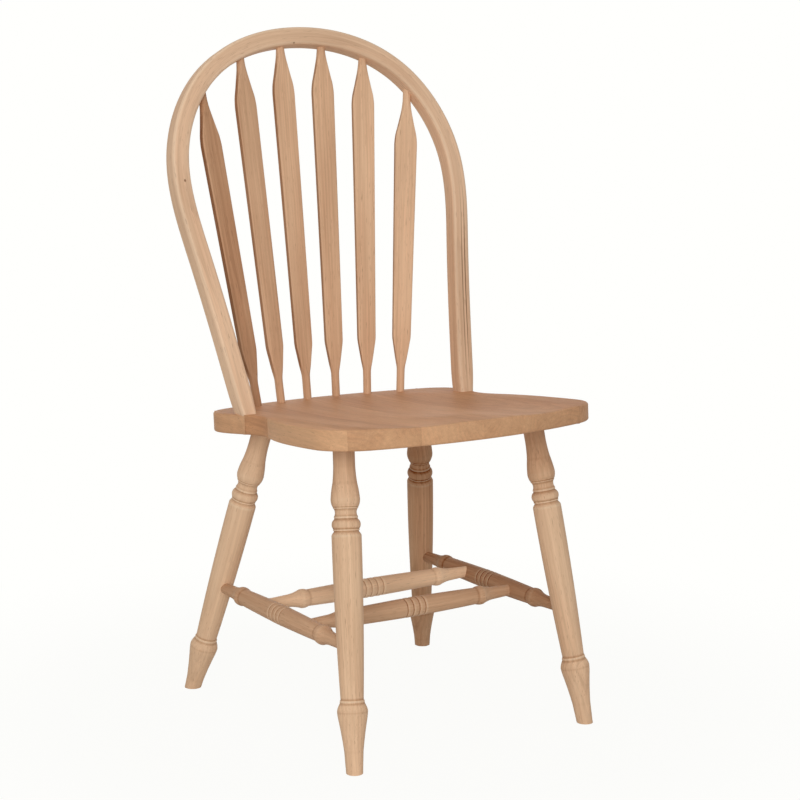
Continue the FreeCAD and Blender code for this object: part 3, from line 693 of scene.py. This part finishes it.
def slab(seat, first, second, across=44, turns=6):
    """Closed board between two facing sides, one section for each pair of rim points, with its mark of
    wear
    and painted light: 1 on its walls and in the middle of each rounded arris.

    A side is its rim, the ways out of it and its arrises' radius. A section runs up the first side,
    round its arris, over the saddled top, down the second side and back below.
    An arris is a quarter circle: (1 - cos, 1 - sin) times its radius, measured in from the rim.
    """
    quarter = np.linspace(0, math.pi / 2, turns)
    share = np.linspace(0, 1, across + 2)[1:-1, None]
    parts, marks = [], []

    def add(flat, drop, mark, top):
        under = seat.thickness - seat.lean * flat[..., 0] / seat.half_width
        parts.append(seat_point(seat, flat, -drop - saddle(seat, flat) if top else drop - under))
        marks.append(mark)

    def edge(side, inwards, top):
        rim, out, radius = side
        angles = quarter if inwards else quarter[::-1]
        inset, drop = radius * (1 - np.cos(angles)), radius * (1 - np.sin(angles))
        # Walls and the middle of each arris are marked 1: painted lighter and paler than the top, partly
        # wear and partly painted light
        rounding = np.sin(2 * angles) * (radius > SHARP)
        mark = np.where(angles == 0, 1, rounding)
        add(rim[:, None] - out[:, None] * inset[None, :, None], drop, mark, top)

    def run(*sides, top):
        start, end = (rim - out * radius for rim, out, radius in sides)
        add(start[:, None] * (1 - share) + end[:, None] * share, 0, np.zeros(across), top)

    edge(first, inwards=True, top=True)
    run(first, second, top=True)
    edge(second, inwards=False, top=True)
    edge(second, inwards=True, top=False)
    run(second, first, top=False)
    edge(first, inwards=False, top=False)
    return np.concatenate(parts, axis=1), np.concatenate(marks)


def seat_boards(seat):
    """The boards' nodes with their two sides, how far out the left glue line lies, and the outline.

    Middle boards have a section at each x and outer boards at each y, close together at their ends.
    """
    outline = seat_outline(seat)
    points = outline[0]
    waist_row = int(np.argmin(np.abs(points[:, 1] - seat.waist_back)))
    widest_front = int(np.argmax(points[:waist_row, 0]))
    widest_rear = waist_row + int(np.argmax(points[waist_row:, 0]))
    front, rear = slice(0, widest_front + 1), slice(widest_rear, len(points))
    line = seat.waist + seat.glue_share * (seat.rear_half_width - seat.waist)
    glue = [-line]
    while glue[-1] + seat.board < seat.waist:
        glue.append(glue[-1] + seat.board)
    boards = []
    edge_rows, rows, outer_rows = 7, 40, 90
    near = seat.arris * (1 - np.cos(np.linspace(0, math.pi / 2, edge_rows)))
    for number, (left, right) in enumerate(zip(glue, glue[1:]), start=1):
        x = np.concatenate([left + near[:-1], np.linspace(left + seat.arris, right, rows)])
        sides = [(*rim_at(outline, 0, x, branch), seat.arris) for branch in (front, rear)]
        boards.append((f"seat_board_{number}", *sides))

    def outer(node, side, inner_x, low, high):
        y = low + (high - low) * (1 - np.cos(np.linspace(0, math.pi, outer_rows))) / 2
        rim, out = (pair * (side, 1) for pair in rim_at(outline, 1, y, slice(None)))
        inner = np.stack([np.full_like(y, side * inner_x), y], axis=-1)
        # The arris narrows where the board does
        room = np.clip((np.abs(rim[:, 0]) - inner_x) / seat.arris, 0.02, 1)[:, None]
        glued = inner, np.broadcast_to((-side, 0.0), inner.shape), SHARP
        free = rim, out * room, seat.arris
        boards.append((node, glued, free) if side > 0 else (node, free, glued))

    def crossing(x, branch):
        return rim_at(outline, 0, np.array([x]), branch)[0][0, 1]

    into_waist, out_of_waist = slice(widest_front, waist_row + 1), slice(waist_row, widest_rear + 1)
    outer("seat_board_left_front", -1, line, crossing(line, front), crossing(line, into_waist))
    outer("seat_board_left_rear", -1, line, crossing(line, out_of_waist), crossing(line, rear))
    last = glue[-1]
    outer(f"seat_board_{len(glue)}", 1, last, crossing(last, front), crossing(last, rear))
    return boards, line, outline


class WINDSOR_OT_seat(bpy.types.Operator):
    """Shapes the seat's boards, saddled on top"""

    bl_idname = "windsor.seat"
    bl_label = "Seat"

    def execute(self, context):
        seat = context.scene.windsor_seat
        wood = wood_for("seat", ring=6.6 * MM, figure=1.5, rings=0.9)
        # Painted light: the seat's walls and arrises are painted lighter and paler than its top through
        # their mark, and this takes back half of the lightening
        darker_edge = 0.04
        boards, line, outline = seat_boards(seat)
        for number, (node, first, second) in enumerate(boards):
            grid, wear = slab(seat, first, second)
            if node == "seat_board_1":
                grid = notch(seat, grid, outline, line)
            local = grid[..., [0, 2, 1]] - np.array([first[0][:, 0].mean(), seat.height, 0])
            # The rings of each board lean another way, by up to a quarter
            lean = (number * 37 % 50 - 25) / 100
            local[..., 0] += local[..., 1] * lean
            grain = in_wood(local, number + 3, pith=(0.07, 0.06))
            build("solid", node, wood, grid, grain, TONES_AND_PAINTED_LIGHT[node] - darker_edge * wear, wear)
        return {"FINISHED"}


def notch(seat, grid, outline, line):
    """Moves the left board's glue side in to the waist where the outline is narrower than the glue line.

    Its free edge there gets an arris: a quarter circle, of at most twice the distance moved as radius.
    """
    points = outline[0][np.abs(outline[0][:, 1] - seat.waist_back) < seat.waist_lead * 0.9]
    x, y = grid[..., 0], grid[..., 1] / math.cos(seat.tilt)
    edge = np.interp(y, points[:, 1], points[:, 0])
    pull = np.clip(line - edge, 0, None)
    share = np.clip((seat.board - line - x) / seat.board, 0, 1)
    moved = grid.copy()
    moved[..., 0] = x + pull * share
    radius = np.minimum(seat.arris, pull * 2)
    inside = np.clip(radius - (x + line), 0, None)
    drop = radius - np.sqrt(np.clip(radius ** 2 - inside ** 2, 0, None))
    upper = np.arange(grid.shape[1]) < grid.shape[1] // 2
    moved[..., 2] += np.where(upper, -drop, drop)
    return moved


# Legs and stretchers


def leg_ends(side, end):
    """A leg's foot on the floor and its place on the seat's underside."""
    legs, seat = bpy.context.scene.windsor_legs, bpy.context.scene.windsor_seat
    word = "front" if end < 0 else "rear"
    foot = np.array([side * getattr(legs, word + "_foot_x"), end * getattr(legs, word + "_foot_y"), 0])
    top = on_seat_top(side * getattr(legs, word + "_top_x"), end * getattr(legs, word + "_top_y"))
    return foot, top - np.array([0, 0, seat.thickness / math.cos(seat.tilt)])


def leg_steps(legs):
    """The turning that all legs share, from its tenon down: radius, height, swell and mark of each step.

    Heights are over the seat's underside. Those less reach are counted up from a front leg's foot, and
    the turning runs on below the floor, so that it can be trimmed there.
    """
    foot, top = leg_ends(1, -1)
    reach = np.linalg.norm(top - foot)
    rear_foot, rear_top = leg_ends(1, 1)
    bottom = -max(reach, np.linalg.norm(rear_top - rear_foot)) - legs.foot
    # A positive fourth number on a step paints a worn edge lighter, as a highlight too; a negative one
    # paints a groove darker, as dust and as shade
    return [
        (legs.neck - 1.4 * MM, legs.tenon),
        (legs.neck, legs.tenon - 1.4 * MM),
        (legs.neck, -31 * MM),
        (legs.neck + 1.8 * MM, -53.5 * MM, -0.3 * MM),
        (legs.vase, -74.8 * MM, 0.4 * MM),
        (legs.vase - 1.3 * MM, -82.4 * MM, 0.35 * MM),
        (legs.fillet + 1.0 * MM, -84.8 * MM, 0.2 * MM),
        (legs.fillet + 0.9 * MM, -86.4 * MM, 0, 0.7),
        (legs.cove + 1.0 * MM, -87.6 * MM, 0, -0.6),
        (legs.cove + 0.8 * MM, -96.8 * MM, -1.1 * MM),
        (legs.fillet, -97.4 * MM, 0, 0.6),
        (legs.fillet, -99.4 * MM, 0, 0.8),
        (legs.fillet - 0.7 * MM, -100.2 * MM, 0, -1),
        (legs.fillet + 0.2 * MM, -101.3 * MM, 0, -0.6),
        (legs.fillet + 1.3 * MM, -114.0 * MM, legs.bead - legs.fillet - 0.7 * MM),
        (legs.fillet + 1.7 * MM, -114.5 * MM, 0, 0.7),
        (legs.fillet + 1.7 * MM, -115.8 * MM, 0, 0.7),
        (legs.fillet + 0.5 * MM, -116.6 * MM, 0, -0.9),
        (legs.fillet + 1.0 * MM, -117.8 * MM, 0, -0.5),
        (legs.column, -COLUMN_TOP_DEPTH, 0.3 * MM),
        (legs.column_foot, COLUMN_FOOT_HEIGHT - reach, COLUMN_SWELL),
        (legs.fillet + 0.6 * MM, 94.4 * MM - reach),
        (legs.fillet + 0.6 * MM, 91.2 * MM - reach, 0, -0.7),
        (legs.collar, 81.4 * MM - reach, 0.5 * MM),
        (legs.collar, 80.2 * MM - reach, 0.1 * MM),
        (legs.cone, 70 * MM - reach, 0.15 * MM),
        (legs.ankle, 28 * MM - reach, -0.4 * MM),
        (legs.foot + 0.3 * MM, 2 * MM - reach),
        (legs.foot, bottom),
    ]


class WINDSOR_OT_legs(bpy.types.Operator):
    """Turns the four legs and trims them level at the floor"""

    bl_idname = "windsor.legs"
    bl_label = "Legs"

    def execute(self, context):
        wood = wood_for("legs", ring=4.8 * MM, figure=1.3)
        points, marks = profile(leg_steps(context.scene.windsor_legs))
        shape = revolve(points)
        soft = 30 * MM
        places = [(end, side) for end in ENDS for side in SIDES]
        for number, ((end_name, end), (side_name, side)) in enumerate(places, start=1):
            node = f"leg_{end_name}_{side_name}"
            foot, top = leg_ends(side, end)
            stick = frame_along(top, top - foot, X_WAY)
            grid = trim_at_floor(place(shape, stick), stick)
            # Painted shade: each leg is painted darker at its top, under the seat, fading out further
            # down
            strength, reach = PAINTED_SEAT_SHADE[node]
            tone = TONES_AND_PAINTED_LIGHT[node] - strength * ease_between(shape[..., 2], -reach - soft, soft - reach)
            build("turned", node, wood, grid, in_wood(shape, number), tone, marks[:, None])
        return {"FINISHED"}


def trim_at_floor(grid, stick):
    """Slides every point below the floor up along the stick's axis until it is level with the floor."""
    axis = stick[1][2]
    below = np.clip(-grid[..., 2], 0, None)
    return grid + (below / axis[2])[..., None] * axis


def stretcher_steps(sizes, half, tenon):
    """A stretcher's turning from one end to the other: radius, place along it, swell and mark."""
    straight = half - tenon - 2.5 * MM
    neck_at, knop_at, dip_at = 140 * MM, 118 * MM, 107 * MM
    ring = sizes.ring_spacing / 2
    groove = 1.5 * MM
    first = [
        (sizes.end - 0.8 * MM, half),
        (sizes.end, half - 0.8 * MM),
        (sizes.end, straight),
        (sizes.neck, neck_at),
        (sizes.knop, knop_at, -1.0 * MM, 0.5),
        (sizes.dip, dip_at, 0.8 * MM),
        (sizes.radius, 3 * ring + groove, 0.2 * MM),
    ]
    rings = []
    for spot in (3 * ring, ring, -ring, -3 * ring):
        rings += [
            (sizes.radius, spot + groove, 0.3 * MM if rings else 0.0),
            # The groove's bottom is marked -1: painted darker, as dust and as shade
            (sizes.radius - sizes.ring_depth, spot + 0.3 * MM, 0, -1),
            (sizes.radius - sizes.ring_depth, spot - 0.3 * MM, 0, -1),
            (sizes.radius, spot - groove, 0, 0.3),
        ]
    last = [
        (sizes.dip, -dip_at, 0.2 * MM),
        (sizes.knop, -knop_at, 0.8 * MM),
        (sizes.neck, -neck_at, -1.0 * MM),
        (sizes.end, -straight),
        (sizes.end, 0.8 * MM - half),
        (sizes.end - 0.8 * MM, -half),
    ]
    return first + rings[1:] + last


def leg_at(side, end, height):
    """Point of a leg's axis at a height over the floor."""
    foot, top = leg_ends(side, end)
    return foot + (top - foot) * (height / top[2])


def column_radius(height):
    """Radius of a leg's column at a height: its straight taper plus the parabola of its swell."""
    legs = bpy.context.scene.windsor_legs
    foot, top = leg_ends(1, -1)
    low, high = COLUMN_FOOT_HEIGHT, np.linalg.norm(top - foot) - COLUMN_TOP_DEPTH
    share = (height - low) / (high - low)
    straight = legs.column_foot + share * (legs.column - legs.column_foot)
    return straight + 4 * COLUMN_SWELL * share * (1 - share)


class WINDSOR_OT_stretchers(bpy.types.Operator):
    """Turns the two side stretchers and the two cross stretchers"""

    bl_idname = "windsor.stretchers"
    bl_label = "Stretchers"

    def execute(self, context):
        sizes = context.scene.windsor_stretchers
        wood = wood_for("stretchers", ring=4.6 * MM, figure=1.4)
        sides = [[leg_at(side, end, sizes.height) for _, end in ENDS] for _, side in SIDES]
        jobs = []
        for (name, _), ends in zip(SIDES, sides):
            jobs.append(("stretcher_side_" + name, *ends, column_radius(sizes.height), sizes.side_tenon))
        for name, y, rise in (("front", -sizes.front_y, 0), ("rear", sizes.rear_y, sizes.rear_rise)):
            ends = [near + (far - near) * (y - near[1]) / (far[1] - near[1]) for near, far in sides]
            ends = [end + Z_WAY * rise for end in ends]
            jobs.append(("stretcher_cross_" + name, *ends, sizes.radius, sizes.cross_tenon))
        for number, (node, start, end, surface, tenon) in enumerate(jobs, start=5):
            half = np.linalg.norm(end - start) / 2 - surface + tenon
            stick = frame_along((start + end) / 2, end - start, Z_WAY)
            points, marks = profile(stretcher_steps(sizes, half, tenon), ease=0.3 * MM)
            shape = revolve(points, columns=64)
            build("turned", node, wood, place(shape, stick), in_wood(shape, number),
                  TONES_AND_PAINTED_LIGHT[node], marks[:, None])
        return {"FINISHED"}


# Bow and spindles


def bow_frame(bow):
    """The bow's raked plane: x across, y up along the rake, z towards the front."""
    up = np.array([0, math.sin(bow.rake), math.cos(bow.rake)])
    return on_seat_top(0, bow.foot_y), np.array([X_WAY, up, np.cross(X_WAY, up)])


def spline(points, steps):
    """Natural cubic spline through points, spaced by chord.

    Each coordinate's second derivatives b solve one linear system. Between points p0 and p1, with v the
    way gone and u the way to go, the curve is
    (b0 u^3 + b1 v^3) / (6 gap) + (p0 / gap - b0 gap / 6) u + (p1 / gap - b1 gap / 6) v.
    """
    points = np.array(points, float)
    gaps = np.linalg.norm(np.diff(points, axis=0), axis=1)
    knots = np.concatenate([[0], np.cumsum(gaps)])
    count = len(points)
    system, right = np.eye(count), np.zeros_like(points)
    rows = np.arange(1, count - 1)
    system[rows, rows - 1] = gaps[:-1]
    system[rows, rows] = 2 * (gaps[:-1] + gaps[1:])
    system[rows, rows + 1] = gaps[1:]
    right[1:-1] = 6 * np.diff(np.diff(points, axis=0) / gaps[:, None], axis=0)
    bend = np.linalg.solve(system, right)
    at = np.linspace(0, knots[-1], steps)
    span = np.clip(np.searchsorted(knots, at, side="right") - 1, 0, count - 2)
    gap, to_go, gone = gaps[span][:, None], (knots[span + 1] - at)[:, None], (at - knots[span])[:, None]
    curved = (bend[span] * to_go ** 3 + bend[span + 1] * gone ** 3) / (6 * gap)
    from_start = (points[span] / gap - bend[span] * gap / 6) * to_go
    return curved + from_start + (points[span + 1] / gap - bend[span + 1] * gap / 6) * gone


def bow_line(bow, steps):
    """Middle line of the bow from foot to foot, in its own plane, with equal steps along it."""
    right = [(bow.shoulder_x, bow.shoulder_z), (bow.widest_x, bow.widest_z), (bow.lower_x, bow.lower_z),
             (bow.foot_x, -bow.depth / 2)]
    left = [(-x, y) for x, y in right[::-1]]
    dense = spline(left + [(0, bow.height)] + right, steps * 4)
    run = np.concatenate([[0], np.cumsum(np.linalg.norm(np.diff(dense, axis=0), axis=1))])
    at = np.linspace(0, run[-1], steps)
    return np.stack([np.interp(at, run, dense[:, axis]) for axis in (0, 1)], axis=-1), at


def eased_section(half_width, half_depth, radius, turns=6, between=3):
    """Rounded rectangle for each row of half sizes: four quarter circles joined by straight sides.

    Returns points as across and deep, and a mark that is 1 in the middle of each rounding, where the
    wood is painted lighter as wear and as a highlight.
    """
    angles = np.linspace(0, math.pi / 2, turns)
    side = np.linspace(0, 1, between + 2)[1:-1, None]
    middle = np.stack([half_width - radius, half_depth - radius], axis=-1)[:, None]
    corners = []
    for quadrant, signs in enumerate(((1, 1), (-1, 1), (-1, -1), (1, -1))):
        turned = angles + quadrant * math.pi / 2
        circle = np.stack([np.cos(turned), np.sin(turned)], axis=-1)
        corners.append(middle * signs + radius[:, None, None] * circle)
    parts = []
    for corner, following in zip(corners, corners[1:] + corners[:1]):
        start, end = corner[:, -1:], following[:, :1]
        parts += [corner, start + (end - start) * side]
    section = np.concatenate(parts, axis=1)
    return section[..., 0], section[..., 1], np.tile(np.append(np.sin(2 * angles), np.zeros(between)), 4)


class WINDSOR_OT_bow(bpy.types.Operator):
    """Bends the bow"""

    bl_idname = "windsor.bow"
    bl_label = "Bow"

    def execute(self, context):
        bow = context.scene.windsor_bow

        def grain_at(local):
            return in_wood(local, 11, pith=(0.03, 0.05))

        # Two pin knots and two dark lines on the right: across and along the stick, half axes, strength
        scars = []
        for across, along, reach, strength in (
            (-0.002, 0.351, (0.0022, 0.004, 0.003), 0.9),
            (-0.0116, 0.685, (0.0022, 0.004, 0.003), 0.8),
            (-0.0008, 1.235, (0.0013, 0.004, 0.2), 0.95),
            (0.0042, 1.225, (0.0013, 0.004, 0.19), 0.95),
        ):
            scars.append((tuple(grain_at(np.array([across, -bow.depth / 2, along]))), reach, strength))
        wood = wood_for("bow", ring=4.4 * MM, figure=1.5, scars=scars)
        line, at = bow_line(bow, steps=300)
        tangent = unit(np.gradient(line, axis=0))
        normal = np.stack([-tangent[:, 1], tangent[:, 0]], axis=-1)
        from_foot = np.minimum(at, at[-1] - at)
        taper = np.sin(np.clip(from_foot / bow.foot_taper, 0, 1) * math.pi / 2)
        half_width = (bow.foot_width + (bow.width - bow.foot_width) * taper) / 2
        half_depth = np.full_like(half_width, bow.depth / 2)
        across, deep, marks = eased_section(half_width, half_depth, np.full_like(half_width, bow.arris))
        flat = line[:, None] + normal[:, None] * across[..., None]
        grid = place(np.concatenate([flat, -deep[..., None]], axis=-1), bow_frame(bow))
        # The feet end just under the seat's top
        grid[..., 2] = np.maximum(grid[..., 2], seat_level(grid[..., 1]) - 2 * MM)
        along = np.broadcast_to(at[:, None], across.shape)
        grain = grain_at(np.stack([across, deep, along], axis=-1))
        # The tone drifts a little from the left foot to the right one
        tone = np.interp(at / at[-1], (0, 0.5, 0.75, 1), (0, 0.02, -0.02, -0.03))[:, None]
        # The bow's arrises are painted lighter: wear and a painted highlight
        build("bent", "bow", wood, grid, grain, tone, marks * 0.6)
        return {"FINISHED"}


def bow_point(bow, x):
    """Place on the upper bow's middle line over x, and the way square out of the bow there."""
    line, _ = bow_line(bow, steps=1200)
    tangent = unit(np.gradient(line, axis=0))
    top = len(line) // 2
    widest = top + int(np.argmax(line[top:, 0]))
    upper = slice(top, widest + 1)
    side = math.copysign(1, x)
    read = [np.interp(abs(x), line[upper, 0], data[upper, axis])
            for data, axis in ((line, 1), (tangent, 0), (tangent, 1))]
    origin, axes = bow_frame(bow)
    point = np.array([x, read[0], 0])
    out = np.array([-side * read[2], read[1], 0])
    return origin + point @ axes, unit(out @ axes)


def spindle_widths(sizes, z, reach, drop):
    """Half width, half depth, rounding and flatness of a spindle at each height, its head lower by drop.

    The foot is round, flares to the hip, widens slowly to the shoulder and narrows to the round head.
    All stretches are straight but the last, a slight S, and a running mean over 9 mm rounds the corners.
    """
    shoulder, tip = reach - sizes.head_drop - drop, reach - sizes.tip_drop - drop
    heights = [sizes.start + 2 * MM, sizes.hip_height, shoulder - 4 * MM]
    widths = [sizes.foot, sizes.hip, sizes.blade]
    # The S of the point: how far up it each place lies, and what is left there of its widening
    shares, parts = (0.16, 0.34, 0.51, 0.69, 0.84, 1.0), (0.88, 0.65, 0.45, 0.26, 0.13, 0.05)
    heights += [shoulder + (tip - shoulder) * share for share in shares]
    widths += [sizes.head + (sizes.blade - sizes.head) * part for part in parts]
    fine = np.linspace(z[0], z[-1], 1200)
    sharp = np.interp(fine, heights + [tip + 6 * MM], widths + [sizes.head])
    window = max(3, int(9 * MM / (fine[1] - fine[0])))
    padded = np.pad(sharp, window, mode="edge")
    soft = np.convolve(padded, np.ones(window) / window, mode="same")[window:-window]
    width = np.interp(z, fine, soft)
    flattens = ease_between(z, sizes.start - 4 * MM, sizes.start + 26 * MM)
    flat = flattens * (1 - ease_between(z, tip - 28 * MM, tip + 2 * MM))
    end = np.where(z > reach / 2, sizes.head, sizes.foot)
    depth = end + (sizes.thickness / 2 - end) * flat
    rounding = np.minimum(width, depth) * (1 - flat) + sizes.arris * flat
    return width, depth, rounding, flat


class WINDSOR_OT_spindles(bpy.types.Operator):
    """Shapes the six arrow spindles"""

    bl_idname = "windsor.spindles"
    bl_label = "Spindles"

    def execute(self, context):
        sizes, bow = context.scene.windsor_spindles, context.scene.windsor_bow
        wood = wood_for("spindles", ring=4.2 * MM, figure=1.9)
        # Painted shade on the blades' narrow side faces
        painted_side_shade = 0.36
        places = [(side, word) for side in SIDES for word in ("inner", "middle", "outer")]
        for number, ((side_name, side), word) in enumerate(places, start=13):
            node = f"spindle_{word}_{side_name}"
            foot_x = side * getattr(sizes, word + "_foot")
            sweep = sizes.row_radius - math.sqrt(sizes.row_radius ** 2 - foot_x ** 2)
            foot = on_seat_top(foot_x, sizes.row_y - sweep)
            aim, out = bow_point(bow, side * getattr(sizes, word + "_head"))
            stick = turn(frame_along(foot, aim - foot, X_WAY), -math.asin(foot_x / sizes.face_radius))
            reach = np.linalg.norm(aim - foot) - bow.width / 2 / (unit(aim - foot) @ out)
            # Rows lie closest where the width changes most
            over_hip, under_head = sizes.hip_height + 10 * MM, reach - sizes.head_drop - 22 * MM
            stops = (-sizes.tenon, sizes.start, over_hip, under_head, reach, reach + sizes.tenon)
            runs = zip(stops, stops[1:], (7, 33, 39, 47, 5))
            z = np.concatenate([np.linspace(*run, endpoint=False) for run in runs] + [stops[-1:]])
            width, depth, rounding, flat = spindle_widths(sizes, z, reach, POINT_DROPS.get(node, 0))
            across, deep, marks = eased_section(width, depth, rounding)
            local = np.stack([across, deep, np.broadcast_to(z[:, None], across.shape)], axis=-1)
            # Painted shade: the blade's two narrow side faces are painted darker, as little light falls
            # on them
            shaded_sides = np.isclose(np.abs(across), width[:, None]) * flat[:, None]
            # The blade's arrises are painted lighter: wear and a painted highlight
            build("arrow", node, wood, place(local, stick), in_wood(local, number),
                  TONES_AND_PAINTED_LIGHT[node] - painted_side_shade * shaded_sides, marks * flat[:, None] * 0.3)
        return {"FINISHED"}


# Stage


class WINDSOR_OT_stage(bpy.types.Operator):
    """Lays a plain pale floor, lights it softly and sets the camera"""

    bl_idname = "windsor.stage"
    bl_label = "Stage"

    def execute(self, context):
        settings = context.scene.windsor_stage
        self.lay_floor(settings)
        self.light(context, settings)
        self.set_camera(context, settings)
        context.scene.view_settings.view_transform = "Standard"
        return {"FINISHED"}

    def lay_floor(self, settings):
        """A wide level disc, which the camera sees as plain paper with a faint shadow near the chair."""
        reach, columns = 9.0, 64
        angles = np.linspace(0, 2 * math.pi, columns, endpoint=False)
        ring = np.stack([np.cos(angles), np.sin(angles), np.zeros(columns)], axis=-1) * reach
        mesh = bpy.data.meshes.new("floor")
        mesh.from_pydata(ring.tolist(), [], [tuple(range(columns))])
        made = bpy.data.materials.new("paper")
        g = Graph(made)
        near, far = 0.35, 0.95
        away = g.vectors("LENGTH", g.node("ShaderNodeTexCoord", output="Object"), output="Value")
        plain = g.seen() * g.between(away, near, far, settings.plain_floor, 1.0)
        diffuse = g.node("ShaderNodeBsdfDiffuse", inputs={"Color": (*settings.floor, 1)})
        glow = g.node("ShaderNodeEmission", inputs={"Color": (*settings.paper, 1), "Strength": 1.0})
        mixed = g.node("ShaderNodeMixShader", inputs={0: plain, 1: diffuse, 2: glow})
        g.node("ShaderNodeOutputMaterial", inputs={"Surface": mixed})
        mesh.materials.append(made)
        floor = bpy.data.objects.new("floor", mesh)
        bpy.context.scene.collection.objects.link(floor)

    def light(self, context, settings):
        """Even light all round, one large lamp in front and weak ones at the right, behind and above."""
        world = bpy.data.worlds.new("studio")
        context.scene.world = world
        g = Graph(world)
        strength = settings.room_light + (1 - settings.room_light) * g.seen()
        paper = (*settings.paper, 1)
        glow = g.node("ShaderNodeBackground", inputs={"Color": paper, "Strength": strength})
        g.node("ShaderNodeOutputWorld", inputs={"Surface": glow})
        middle = Vector((0, 0, 0.5))
        for name, spot, across, share in (
            ("key", (-2.05, -2.75, 1.4), 1.7, 1.0),
            ("fill", (2.0, -2.8, 1.4), 2.0, 0.03),
            ("back", (1.6, 2.9, 0.5), 1.6, 0.2),
            ("top", (-0.3, -0.4, 3.0), 1.6, 0.1),
        ):
            lamp = bpy.data.lights.new(name, "AREA")
            lamp.size = across
            lamp.energy = settings.key_power * share
            self.put(lamp, spot, middle - Vector(spot))

    def set_camera(self, context, settings):
        """The camera looks along its own turn and pitch."""
        data = bpy.data.cameras.new("camera")
        data.lens = settings.lens
        data.sensor_width = 36
        data.dof.use_dof = False
        yaw, level = settings.yaw, math.cos(settings.pitch)
        way = Vector((-math.sin(yaw) * level, math.cos(yaw) * level, -math.sin(settings.pitch)))
        spot = (settings.camera_x, settings.camera_y, settings.camera_z)
        context.scene.camera = self.put(data, spot, way)

    def put(self, data, spot, way):
        """Adds a lamp or a camera at a spot, turned to look one way."""
        holder = bpy.data.objects.new(data.name, data)
        holder.location = spot
        holder.rotation_euler = way.to_track_quat("-Z", "Y").to_euler()
        bpy.context.scene.collection.objects.link(holder)
        return holder


class WINDSOR_PT_panel(bpy.types.Panel):
    """Lists the chair's pieces in the sidebar"""

    bl_idname = "WINDSOR_PT_panel"
    bl_label = "Windsor Chair"
    bl_space_type = "VIEW_3D"
    bl_region_type = "UI"
    bl_category = "Windsor"

    def draw(self, context):
        for operator in OPERATORS:
            self.layout.operator(operator.bl_idname)
        for name in GROUPS:
            group = getattr(context.scene, name)
            box = self.layout.box()
            for key in group.bl_rna.properties.keys():
                if key not in ("rna_type", "name"):
                    box.prop(group, key)


OPERATORS = (
    WINDSOR_OT_seat,
    WINDSOR_OT_legs,
    WINDSOR_OT_stretchers,
    WINDSOR_OT_bow,
    WINDSOR_OT_spindles,
    WINDSOR_OT_stage,
)
GROUPS = {
    "windsor_seat": SeatSizes,
    "windsor_legs": LegSizes,
    "windsor_stretchers": StretcherSizes,
    "windsor_bow": BowSizes,
    "windsor_spindles": SpindleSizes,
    "windsor_wood": WoodColours,
    "windsor_stage": StageSettings,
}


def register():
    for group in GROUPS.values():
        bpy.utils.register_class(group)
    for name, group in GROUPS.items():
        setattr(bpy.types.Scene, name, bpy.props.PointerProperty(type=group))
    for operator in OPERATORS:
        bpy.utils.register_class(operator)
    bpy.utils.register_class(WINDSOR_PT_panel)


def unregister():
    bpy.utils.unregister_class(WINDSOR_PT_panel)
    for operator in reversed(OPERATORS):
        bpy.utils.unregister_class(operator)
    for name in GROUPS:
        delattr(bpy.types.Scene, name)
    for group in GROUPS.values():
        bpy.utils.unregister_class(group)


def main():
    register()
    bpy.ops.windsor.seat()
    bpy.ops.windsor.legs()
    bpy.ops.windsor.stretchers()
    bpy.ops.windsor.bow()
    bpy.ops.windsor.spindles()
    bpy.ops.windsor.stage()


if __name__ == "__main__":
    main()
